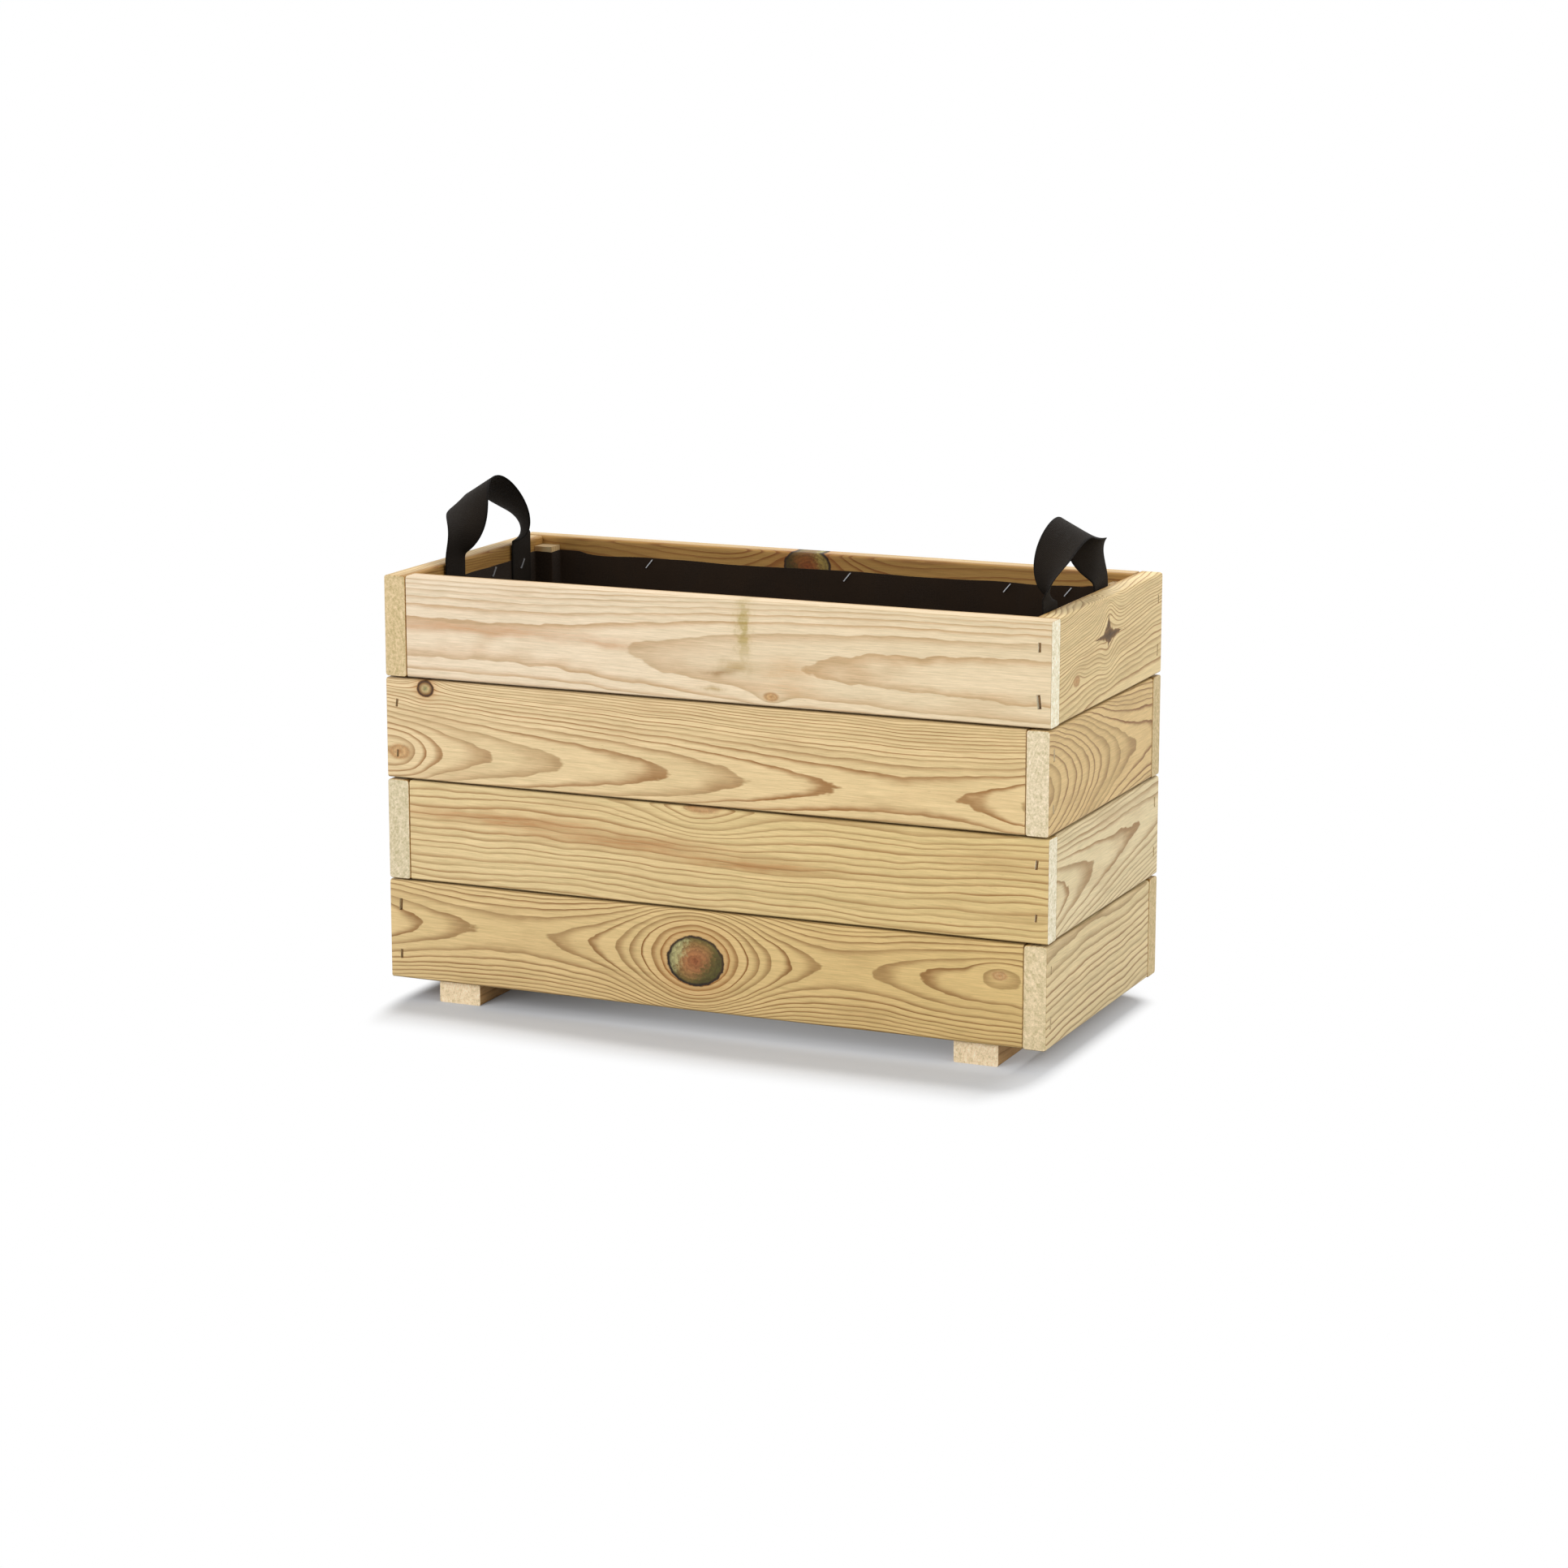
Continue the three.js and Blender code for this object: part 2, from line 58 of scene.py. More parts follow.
# Sizes repeated from the part's source, in millimetres
BOX_LENGTH = 650
BOX_DEPTH = 300
BOARD_WIDTH = 95
BOARD_THICKNESS = 22
COURSES = 4
COURSE_PITCH = 95.5
WALL_BASE = 20.3
RIM = 401.8
CLEARANCE = 0.3
POST = 18
SLAT_TOP = 38.3
LINER_TOP = RIM - 15.5
CLOTH_BEND = 2.0
FOOT_X = 257
FOOT_SETBACK = 7
STRAP_WIDTH = 38
STRAP_THICKNESS = 1.6
STRAP_TAIL = 60
LOOP_SPREAD = 134
LOOP_SWAY = 5.2
LOOP_FLAT_SHARE = 0.14
LOOP_TWIST_LEAD = 0.13
LOOP_STEEPNESS = (2.9, 1.02)
STRAP_TO_WALL = 2.4
INNER_LENGTH = BOX_LENGTH - 2 * BOARD_THICKNESS
INNER_DEPTH = BOX_DEPTH - 2 * BOARD_THICKNESS

# Sizes that only the scene has, in millimetres
ARRIS_RADIUS = 2.8
BOARD_SHRINK = 0.5
BOARD_UNEVENNESS = 0.16
END_EASE = 0.5
CROWN_LENGTH = 10.7
WIRE_THICKNESS = 1.25
WIRE_BEND = 0.7
WIRE_LEG = 5.0
CLOTH_THICKNESS = 0.8
CLOTH_SLACK = 3.8
CLOTH_MOST_SLACK = 4.0
CLOTH_LIFT = 1.1
CLOTH_SAG = 1.6
HALF_SLAT_GAP = 9
TAIL_TOP = 0.6

# How finely the pieces are divided: steps, and millimetres for the board's
ARRIS_STEPS = 6
BESIDE_ARRIS = 2
STATION_SPACING = 24
CLOTH_LEVELS = 26
CLOTH_RINGS = 18
TAIL_STEPS = 20
LOOP_STEPS = 120

# Each side's name, quarter turns from the front, outside length and distance from the middle
SIDES = [("front", 0, BOX_LENGTH, BOX_DEPTH / 2), ("right", 1, BOX_DEPTH, BOX_LENGTH / 2),
         ("back", 2, BOX_LENGTH, BOX_DEPTH / 2), ("left", 3, BOX_DEPTH, BOX_LENGTH / 2)]

# Each handle's name, end of the box, offset from the middle and the form of its loop
HANDLES = [("left", -1, 10, {"rise": 62.5, "point": 0.45, "lean": 2.5, "out": 6.9, "upright": 0.3,
                             "squeeze": 0.21, "twist": 122}),
           ("right", 1, -21, {"rise": 62, "point": 0.35, "lean": 9.8, "out": 0.5, "upright": 0.14,
                              "squeeze": 0.05, "twist": 116})]


# Helpers

def linear(colour):
    """An sRGB colour in 0 to 255 as a scene-linear one with alpha."""
    parts = [c / 255 for c in colour]
    return tuple(c / 12.92 if c <= 0.04045 else ((c + 0.055) / 1.055) ** 2.4 for c in parts) + (1.0,)


def course_sign(course):
    """Which way a course's boards are shifted along, for the lap that turns over from course to course."""
    return 1 if course % 2 else -1


def new_piece(name, verts, faces, material, smooth_angle=35):
    """A mesh object from points in millimetres, in the row frame."""
    mesh = bpy.data.meshes.new(name)
    mesh.from_pydata([Vector(v) * MM for v in verts], [], faces)
    mesh.update()
    piece = bpy.data.objects.new(name, mesh)
    bpy.context.collection.objects.link(piece)
    finish_mesh(piece, material, smooth_angle)
    return piece


def finish_mesh(piece, material, smooth_angle):
    """Merged points, outward faces, smooth shading up to an angle and one material."""
    mesh = piece.data
    bm = bmesh.new()
    bm.from_mesh(mesh)
    bmesh.ops.remove_doubles(bm, verts=bm.verts, dist=1e-6)
    bmesh.ops.recalc_face_normals(bm, faces=bm.faces)
    bm.to_mesh(mesh)
    bm.free()
    mesh.shade_smooth()
    mesh.set_sharp_from_angle(angle=math.radians(smooth_angle))
    paint(piece, material)


def paint(piece, material):
    piece.data.materials.clear()
    piece.data.materials.append(material)


def cut(piece, cutter):
    """Takes the cutter's volume out of the piece, for good."""
    modifier = piece.modifiers.new("cut", "BOOLEAN")
    modifier.operation = "DIFFERENCE"
    modifier.object = cutter
    modifier.solver = "EXACT"
    bpy.context.view_layer.update()
    evaluated = piece.evaluated_get(bpy.context.evaluated_depsgraph_get())
    mesh = bpy.data.meshes.new_from_object(evaluated)
    piece.modifiers.clear()
    piece.data = mesh


def loft(rings, count, capped=True):
    """Faces of a tube through rings of count points each, one after the other."""
    faces = []
    for ring in range(rings - 1):
        for k in range(count):
            a, b = ring * count + k, ring * count + (k + 1) % count
            faces.append((a, b, b + count, a + count))
    if capped:
        faces.append(tuple(range(count))[::-1])
        faces.append(tuple(range((rings - 1) * count, rings * count)))
    return faces


def tube(path, radius, sides=8):
    """Points and faces of a closed round wire along a path."""
    verts = []
    for index, point in enumerate(path):
        before = path[max(index - 1, 0)]
        after = path[min(index + 1, len(path) - 1)]
        tangent = (after - before).normalized()
        side = tangent.orthogonal() if index == 0 else (side - tangent * side.dot(tangent))
        side.normalize()
        other = tangent.cross(side)
        for k in range(sides):
            turn = 2 * math.pi * k / sides
            verts.append(point + (side * math.cos(turn) + other * math.sin(turn)) * radius)
    return verts, loft(len(path), sides)


class Graph:
    """The node tree of a material or of the world, built by short calls."""

    def __init__(self, owner):
        self.owner = owner
        owner.use_nodes = True
        self.tree = owner.node_tree
        self.tree.nodes.clear()

    def node(self, kind, inputs=None, **settings):
        made = self.tree.nodes.new("ShaderNode" + kind)
        for key, value in settings.items():
            setattr(made, key, value)
        for key, value in (inputs or {}).items():
            self.put(made.inputs[key], value)
        return made

    def put(self, socket, value):
        if isinstance(value, bpy.types.NodeSocket):
            self.tree.links.new(value, socket)
        else:
            socket.default_value = value

    def math(self, operation, *values, clamp=False):
        made = self.node("Math", operation=operation, use_clamp=clamp)
        for socket, value in zip(made.inputs, values):
            self.put(socket, value)
        return made.outputs[0]

    def add(self, *values):
        total = values[0]
        for value in values[1:]:
            total = self.math("ADD", total, value)
        return total

    def sub(self, a, b):
        return self.math("SUBTRACT", a, b)

    def mul(self, *values):
        total = values[0]
        for value in values[1:]:
            total = self.math("MULTIPLY", total, value)
        return total

    def power(self, a, b):
        return self.math("POWER", a, b)

    def step(self, value, start, end):
        """0 before start, 1 after end, smooth between."""
        made = self.node("MapRange", {"Value": value, "From Min": start, "From Max": end},
                         interpolation_type="SMOOTHSTEP")
        return made.outputs[0]

    def place(self):
        """A point's place in the row frame, in millimetres."""
        spot = self.node("TexCoord").outputs["Object"]
        return self.node("Mapping", {"Vector": spot, "Scale": (1000, 1000, 1000)}).outputs[0]

    def vector(self, x, y, z):
        return self.node("CombineXYZ", {"X": x, "Y": y, "Z": z}).outputs[0]

    def split(self, vector):
        return self.node("SeparateXYZ", {"Vector": vector}).outputs

    def stretch(self, vector, x, y, z, shift=None):
        """A vector multiplied part by part, and then shifted."""
        made = self.node("VectorMath", {0: vector, 1: (x, y, z)}, operation="MULTIPLY").outputs[0]
        if shift is None:
            return made
        return self.node("VectorMath", {0: made, 1: shift}, operation="ADD").outputs[0]

    def noise(self, vector, detail=2.0, roughness=0.5):
        """Noise from -0.5 to 0.5."""
        made = self.node("TexNoise", {"Vector": vector, "Scale": 1.0, "Detail": detail,
                                      "Roughness": roughness})
        return self.sub(made.outputs[0], 0.5)

    def mix(self, share, a, b, blend="MIX"):
        made = self.node("Mix", data_type="RGBA", blend_type=blend)
        self.put(made.inputs[0], share)
        self.put(made.inputs[6], a)
        self.put(made.inputs[7], b)
        return made.outputs[2]

    def ramp(self, value, *stops):
        made = self.node("ValToRGB", {"Fac": value})
        ramp = made.color_ramp
        while len(ramp.elements) < len(stops):
            ramp.elements.new(0.5)
        for element, (position, colour) in zip(ramp.elements, stops):
            element.position = position
            element.color = linear(colour)
        return made.outputs[0]

    def curve(self, value, low, high, bottom, top, points):
        """A smooth curve through points, for a value from low to high and a result from bottom to top."""
        share = self.node("MapRange", {"Value": value, "From Min": low, "From Max": high}).outputs[0]
        made = self.node("FloatCurve", {"Value": share})
        line = made.mapping.curves[0]
        while len(line.points) < len(points):
            line.points.new(0.5, 0.5)
        for spot, (x, y) in zip(line.points, points):
            spot.location = ((x - low) / (high - low), (y - bottom) / (top - bottom))
        made.mapping.update()
        result = self.node("MapRange", {"Value": made.outputs[0], "To Min": bottom, "To Max": top})
        return result.outputs[0]

    def seen(self):
        """1 on rays that show this surface to the camera, straight, mirrored or through glass."""
        rays = self.node("LightPath").outputs
        others = self.math("MAXIMUM", rays["Is Glossy Ray"], rays["Is Transmission Ray"])
        return self.math("MAXIMUM", rays["Is Camera Ray"], others)

    def surface(self, base, roughness, height, depth, specular, sheen=0.0):
        """The shader, with a bump of the height as deep as depth in metres."""
        bump = self.node("Bump", {"Height": height, "Distance": depth, "Strength": 1.0})
        shader = self.node("BsdfPrincipled", {"Base Color": base, "Roughness": roughness,
                                              "Specular IOR Level": specular, "Sheen Weight": sheen,
                                              "Normal": bump.outputs[0]})
        self.node("OutputMaterial", {"Surface": shader.outputs[0]})
        return shader


# Wood: growth rings round a pith that runs along the board, bent by knots

KNOT_RAMPS = {
    "sound": [(0.0, (152, 88, 50)), (0.3, (176, 122, 76)), (0.5, (156, 118, 68)), (0.66, (132, 114, 60)),
              (0.72, (84, 68, 34)), (0.76, (34, 22, 13)), (0.8, (140, 92, 46))],
    "small": [(0.0, (128, 128, 84)), (0.3, (188, 164, 116)), (0.5, (140, 102, 60)), (0.62, (60, 40, 24)),
              (0.72, (96, 64, 36)), (0.8, (176, 132, 80))],
    "faint": [(0.0, (176, 128, 80)), (0.3, (204, 166, 116)), (0.52, (182, 138, 90)), (0.76, (206, 170, 120))],
    "bark": [(0.0, (74, 52, 26)), (0.45, (104, 78, 44)), (0.76, (150, 112, 68))],
}
KNOT_EDGES = {"sound": (0.99, 1.05), "small": (0.95, 1.1), "faint": (0.55, 1.1), "bark": (0.8, 1.02)}


class Log:
    """How one board was sawn from its log, in millimetres along, up and into the board."""

    def __init__(self, pith, rise, spacing, pale, dark, seed, tilt=0.0, wander=3.0, knots=(), stains=(),
                 line=1.0, narrow=0.012, end_tint=(215, 193, 148), drift=0.0,
                 pits=((120, 84, 50), (150, 112, 70))):
        self.pith, self.rise, self.spacing, self.tilt, self.wander = pith, rise, spacing, tilt, wander
        self.pale, self.dark, self.line, self.narrow, self.end_tint = pale, dark, line, narrow, end_tint
        self.knots, self.stains, self.drift, self.pits, self.seed = knots, stains, drift, pits, seed


def wood(name, log, turn, reach, middle, inner_shade=None):
    """A board's wood. Turn is the side's quarter turns, reach its outer face and middle its mid height."""
    g = Graph(bpy.data.materials.new(name))
    spot = g.node("TexCoord").outputs["Object"]
    angle = -turn * math.pi / 2
    placed = g.node("Mapping", {"Vector": spot, "Location": (0, reach, -middle), "Rotation": (0, 0, angle),
                                "Scale": (1000, 1000, 1000)}).outputs[0]
    along, into, up = g.split(placed)
    shift = g.vector(log.seed * 37.3, log.seed * 11.7, log.seed * 5.1)

    def grain(lengthwise, crosswise, detail, roughness=0.5):
        """Noise at its own scales along the fibres and across them."""
        return g.noise(g.stretch(placed, lengthwise, crosswise, crosswise, shift), detail, roughness)

    # Knots: fibres flow round them and the rings rise over their root
    bent, mounds, rounds, crowd = up, [], [], 0.0
    ragged = grain(0.16, 0.16, 3.0, 0.6)
    for x, z, wide, tall, kind, push in log.knots:
        across = g.mul(g.sub(along, x), 1 / wide)
        over = g.mul(g.sub(up, z), 1 / tall)
        square = g.add(g.mul(across, across), g.mul(over, over))
        if push:
            flow = g.math("EXPONENT", g.mul(square, -0.3))
            bent = g.add(bent, g.mul(g.sub(z, bent), flow, 0.78))
            mounds.append(g.mul(g.math("EXPONENT", g.mul(square, -0.21)), -push))
        if kind == "sound":
            crowd = g.add(crowd, g.math("EXPONENT", g.mul(square, -0.09)))
        bend = 0.7 if kind == "bark" else 2.0
        near = g.add(g.power(g.math("ABSOLUTE", across), bend), g.power(g.math("ABSOLUTE", over), bend))
        jag = 0.9 if kind == "bark" else 0.16
        near = g.math("MAXIMUM", g.add(g.power(near, 1 / bend), g.mul(ragged, jag)), 0.0)
        rounds.append((near, across, over, kind))

    # Rings
    broad = grain(0.012, 0.02, 1.0)
    ripple = grain(0.04, 0.07, 1.0)
    fine = grain(0.11, 0.3, 1.0)
    high = g.add(g.sub(bent, log.pith[0]), g.mul(along, -log.tilt), g.mul(broad, 2 * log.wander))
    deep = g.add(into, log.pith[1])
    radius = g.math("SQRT", g.add(g.mul(high, high), g.mul(deep, deep)))
    outer = g.math("MAXIMUM", g.sub(radius, log.pith[1]), 0.0)
    radius = g.add(radius, g.mul(outer, outer, log.narrow), g.mul(ripple, 1.7), g.mul(fine, 0.45))
    radius = g.add(radius, g.curve(along, -335, 335, -40, 40, log.rise))
    for mound in mounds:
        radius = g.add(radius, mound)
    rings = g.mul(radius, 1 / log.spacing)
    rings = g.add(rings, g.mul(g.noise(g.vector(g.mul(rings, 0.7), log.seed * 3.1, 0.0), 0.0), 0.8))
    phase = g.math("FRACT", rings)
    year = g.math("FLOOR", rings)
    chance = g.node("TexWhiteNoise", {"W": g.add(year, log.seed * 7.3)}, noise_dimensions="1D").outputs[0]
    rising = g.step(phase, g.add(g.mul(chance, 0.35), 0.2), 0.92)
    falling = g.sub(1.0, g.step(phase, 0.95, 1.0))
    strong = g.step(grain(0.007, 0.06, 1.0), -0.3, 0.3)
    weight = g.add(g.mul(chance, 0.5), 0.3, g.mul(strong, 0.3), g.mul(crowd, 0.35))
    late = g.mul(g.power(rising, 1.4), falling, weight)
    rim = g.mul(g.step(phase, 0.78, 0.92), falling)

    # Colour along the fibres
    fibres = grain(0.03, 0.75, 3.0, 0.7)
    hair = grain(0.07, 2.1, 2.0, 0.7)
    cloud = grain(0.009, 0.04, 2.0)
    pale, dark = linear(log.pale), linear(log.dark)
    colour = g.mix(g.mul(late, log.line), pale, dark)
    brown = tuple(0.55 * a + 0.45 * b for a, b in zip(pale, dark))
    colour = g.mix(g.step(cloud, 0.0, 0.32), colour, g.mix(0.6, colour, brown))
    for x, z, wide, tall, tint, strength in log.stains:
        across = g.mul(g.add(g.sub(along, x), g.mul(ragged, 22)), 1 / wide)
        over = g.mul(g.add(g.sub(up, z), g.mul(ripple, 10)), 1 / tall)
        share = g.math("EXPONENT", g.mul(g.add(g.mul(across, across), g.mul(over, over)), -1.0))
        share = g.mul(share, g.add(0.8, g.mul(fibres, 1.8)), strength)
        colour = g.mix(g.math("MAXIMUM", share, 0.0, clamp=True), colour, linear(tint))
    lines = grain(0.008, 0.3, 2.0, 0.7)
    streak = g.add(1.0, g.mul(fibres, 0.5), g.mul(hair, 0.42), g.mul(lines, 0.24),
                   g.mul(g.sub(chance, 0.5), 0.08), g.mul(rim, -0.08))
    fleck = g.step(grain(0.12, 1.3, 1.0), 0.22, 0.34)
    streak = g.mul(streak, g.sub(1.0, g.mul(fleck, 0.25)))
    colour = g.mix(1.0, colour, g.vector(streak, streak, g.power(streak, 1.3)), "MULTIPLY")

    # Painted light: brighter and cooler at the board's left end, warmer and yellower towards its right end
    if log.drift:
        warm_light = g.mul(g.step(along, -330.0, 330.0), log.drift)
        drifted = g.vector(g.sub(1.02, g.mul(warm_light, 0.03)), g.sub(1.03, g.mul(warm_light, 0.06)),
                           g.sub(1.08, g.mul(warm_light, 0.2)))
        colour = g.mix(1.0, colour, drifted, "MULTIPLY")

    # Knots' colour: heartwood in the middle, green towards one side, a painted highlight on the upper left, a
    # dark rim darkest at the lower left
    rough = grain(0.3, 0.3, 3.0, 0.75)
    for near, across, over, kind in rounds:
        inner = g.ramp(g.add(g.mul(near, 0.76), g.mul(rough, 0.12)), *KNOT_RAMPS[kind])
        if kind == "sound":
            lean = g.add(g.mul(across, 0.8), g.mul(over, -0.45), g.mul(rough, 1.3))
            body = g.sub(1.0, g.step(near, 0.86, 0.97))
            olive = g.mul(g.step(lean, 0.1, 0.6), body, 0.9)
            inner = g.mix(olive, inner, linear((82, 80, 36)))
            # Painted highlight: a pale patch on the knot's upper left
            bright = g.step(g.add(g.mul(across, -0.9), g.mul(over, 0.3), g.mul(rough, 0.9)), 0.3, 0.7)
            inner = g.mix(g.mul(bright, body, 0.9), inner, linear((192, 186, 130)))
            circles = g.math("SINE", g.add(g.mul(near, 34.0), g.mul(rough, 14.0)))
            inner = g.mix(g.mul(g.add(circles, 1.0), 0.17), inner, linear((66, 40, 22)))
            below = g.step(g.sub(g.mul(over, -0.8), g.mul(across, 0.5)), -0.5, 0.7)
            edge = g.math("EXPONENT", g.mul(g.math("ABSOLUTE", g.mul(g.sub(near, 0.95), 13.0)), -1.0))
            inner = g.mix(g.mul(edge, g.add(0.45, g.mul(below, 0.55))), inner, linear((26, 17, 11)))
        cover = g.sub(1.0, g.step(near, *KNOT_EDGES[kind]))
        grainy = g.add(1.0, g.mul(rough, 1.1))
        inner = g.mix(1.0, inner, g.vector(grainy, grainy, grainy), "MULTIPLY")
        if kind in ("sound", "small"):
            halo = g.math("EXPONENT", g.mul(near, near, near, -0.5))
            colour = g.mix(g.mul(halo, 0.6), colour, linear((182, 116, 50)))
        colour = g.mix(cover, colour, inner)

    # Slots of the staples: crushed and stained
    level = g.sub(1.0, g.step(g.math("ABSOLUTE", up), 40.0, 42.0))
    pit = g.mul(g.step(into, 0.2, 0.8), g.sub(1.0, g.step(into, 2.6, 3.4)), level)
    tint = g.mix(g.step(up, -1.0, 1.0), linear(log.pits[0]), linear(log.pits[1]))
    colour = g.mix(pit, colour, g.mix(g.add(0.3, g.mul(ragged, 2.0)), tint, linear((176, 132, 82))))

    # Lower arris: painted shade of the joint between courses, darkest in the joint
    joint_shade = g.mul(g.sub(1.0, g.step(up, -47.0, -44.9)), g.add(0.65, g.mul(ragged, 0.6)))
    colour = g.mix(joint_shade, colour, linear((84, 58, 32)))

    # Inner faces: painted shade, darker and more amber
    if inner_shade:
        within = g.step(into, BOARD_THICKNESS * 0.6, BOARD_THICKNESS * 0.9)
        colour = g.mix(within, colour, g.mix(1.0, colour, inner_shade + (1.0,), "MULTIPLY"))

    # Sawn ends: speckled with cut fibres, rings still faintly seen
    normal = g.split(g.node("NewGeometry").outputs["Normal"])
    sawn = g.step(g.math("ABSOLUTE", normal[turn % 2]), 0.75, 0.95)
    speckle = grain(0.34, 0.36, 3.0, 0.75)
    grit = grain(1.3, 1.3, 2.0, 0.7)
    mottle = grain(0.16, 0.18, 2.0, 0.7)
    marks = g.add(1.0, g.mul(speckle, 1.1), g.mul(grit, 0.32), g.mul(mottle, 0.55), g.mul(late, -0.1))
    end = g.mix(1.0, linear(log.end_tint), g.vector(marks, marks, g.power(marks, 1.5)), "MULTIPLY")
    colour = g.mix(sawn, colour, end)

    # Relief: late wood and fibres stand proud, with the planer's faint ridges across
    ridges = g.math("SINE", g.mul(along, 2 * math.pi / 3.4))
    face_height = g.add(g.mul(late, 0.5), g.mul(fibres, 0.9), g.mul(hair, 0.5), g.mul(ridges, 0.05))
    end_height = g.add(g.mul(speckle, 1.6), g.mul(grit, 1.2))
    blend = g.node("Mix", data_type="FLOAT")
    for socket, value in ((0, sawn), (2, face_height), (3, end_height)):
        g.put(blend.inputs[socket], value)
    roughness = g.add(0.58, g.mul(fibres, 0.25), g.mul(late, -0.06), g.mul(sawn, 0.2))
    g.surface(colour, roughness, blend.outputs[0], 0.0002, specular=0.26)
    return g.owner


# Boards, from the photograph where it shows them: courses are numbered from the bottom. A knot is its place
# along and up, half width, half height, kind and push; a stain ends with its colour and strength instead.

LOGS = {
    "front_board_4": Log(
        pith=(-8, 72), spacing=4.8, seed=4, line=0.9, narrow=0.02, pale=(233, 213, 180), dark=(190, 148, 98),
        wander=2.5, end_tint=(255, 246, 218), drift=0.8, pits=((70, 46, 26), (156, 116, 72)),
        rise=[(-330, 3), (-230, 3.4), (-150, 2.6), (-74, 0.2), (0, -2.6), (60, -4.6), (90, -5.6), (180, -7.2),
              (330, -8.8)],
        knots=[(63, -38, 9, 5, "faint", 4)],
        stains=[(36, 22, 6, 26, (164, 142, 56), 0.8), (30, -14, 17, 7, (170, 134, 62), 0.7),
                (14, -20, 16, 3, (150, 112, 60), 0.8), (6, -36, 9, 3, (160, 128, 60), 0.7),
                (-230, 2, 120, 4.5, (194, 146, 100), 0.85), (-100, -3, 30, 3, (194, 146, 100), 0.7),
                (78, -14, 26, 10, (204, 160, 108), 0.6), (78, -30, 30, 5, (204, 160, 108), 0.5)]),
    "front_board_3": Log(
        pith=(-20, 47), spacing=4.5, seed=3, narrow=0.02, pale=(227, 201, 152), dark=(156, 108, 56),
        wander=2.5, drift=0.8, pits=((176, 138, 88), (170, 128, 80)),
        rise=[(-330, -9), (-290, -4), (-213, 2.2), (-138, 6.7), (-42, 11.3), (31, 15.8), (130, 20.3),
              (190, 21.8), (245, 20.2), (330, 13)],
        knots=[(-284, 39, 9, 8, "small", 5), (-312, -22, 14, 9, "faint", 9)]),
    "front_board_2": Log(
        pith=(112, 46), spacing=6.2, seed=8, narrow=0, pale=(224, 199, 145), dark=(156, 110, 58),
        wander=7, drift=1.0, line=0.88, end_tint=(250, 240, 212), pits=((196, 156, 100), (160, 116, 68)),
        rise=[(-330, 0), (-120, 1.5), (40, -2.5), (330, 3)],
        knots=[(-4, 52, 26, 13, "faint", 16)],
        stains=[(-200, 18, 100, 7, (184, 138, 88), 1.0), (-80, 8, 80, 6, (184, 138, 88), 1.0),
                (40, -2, 60, 5, (180, 132, 80), 1.0)]),
    "front_board_1": Log(
        pith=(7, 42), spacing=4.4, seed=11, narrow=0.014, pale=(222, 193, 136), dark=(142, 97, 48),
        wander=2.5, drift=1.0, pits=((160, 122, 76), (72, 48, 28)),
        rise=[(-330, 3), (-297, 6.6), (-232, 10.4), (-200, 11.3), (-165, 10.6), (-127, 8.6), (-60, 8), (0, 8),
              (60, 9), (108, 10.9), (135, 11.4), (165, 10.2), (215, 6), (330, 2)],
        knots=[(-12, 0, 28, 23, "sound", 34), (281, 17, 9, 5, "faint", 5)]),
    "right_board_4": Log(
        pith=(-72, 40), spacing=6.6, seed=14, pale=(232, 208, 156), dark=(160, 114, 60), wander=4, tilt=0.1,
        rise=[(-330, 4), (-120, 1), (0, -2), (120, 4), (330, 8)],
        knots=[(-1, 16, 12, 19, "bark", 6), (2, 12, 44, 9, "bark", 0), (-84, -16, 10, 6, "faint", 9)]),
    "right_board_3": Log(
        pith=(-6, 58), spacing=3.8, seed=17, pale=(224, 194, 138), dark=(142, 97, 50), wander=4, narrow=0.006,
        end_tint=(233, 216, 181),
        rise=[(-330, -30), (-150, -18), (-110, -11), (-60, 0), (-10, 10), (40, 18), (100, 22), (150, 24),
              (330, 26)]),
    "right_board_2": Log(
        pith=(2, 44), spacing=4.8, seed=21, pale=(235, 217, 174), dark=(160, 116, 62), wander=3, tilt=0.1,
        rise=[(-330, -20), (-150, -8), (-100, -2), (0, 5), (100, 9), (150, 11), (330, 14)]),
    "right_board_1": Log(
        pith=(70, 52), spacing=6, seed=25, pale=(233, 212, 164), dark=(152, 110, 58), wander=5, tilt=0.1,
        narrow=0, end_tint=(231, 211, 170), rise=[(-330, 0), (-60, 3), (90, -4), (330, 2)]),
    "back_board_4": Log(
        pith=(8, 46), spacing=4.4, seed=29, pale=(214, 186, 136), dark=(168, 122, 70), wander=4,
        rise=[(-330, 4), (-180, 9), (-60, 12), (40, 8), (160, 3), (330, -6)],
        knots=[(22, 34, 24, 17, "sound", 14), (210, -12, 8, 8, "small", 6)]),
    "left_board_4": Log(
        pith=(-26, 40), spacing=4.3, seed=33, pale=(216, 188, 138), dark=(170, 126, 74), wander=4,
        end_tint=(216, 192, 146), rise=[(-330, 0), (-100, 4), (20, -3), (120, -9), (330, -16)]),
    "left_board_2": Log(
        pith=(20, 44), spacing=4.6, seed=36, pale=(219, 192, 143), dark=(172, 128, 76), wander=5,
        end_tint=(221, 206, 171), rise=[(-330, -10), (-120, 2), (0, 8), (140, 4), (330, 9)]),
}


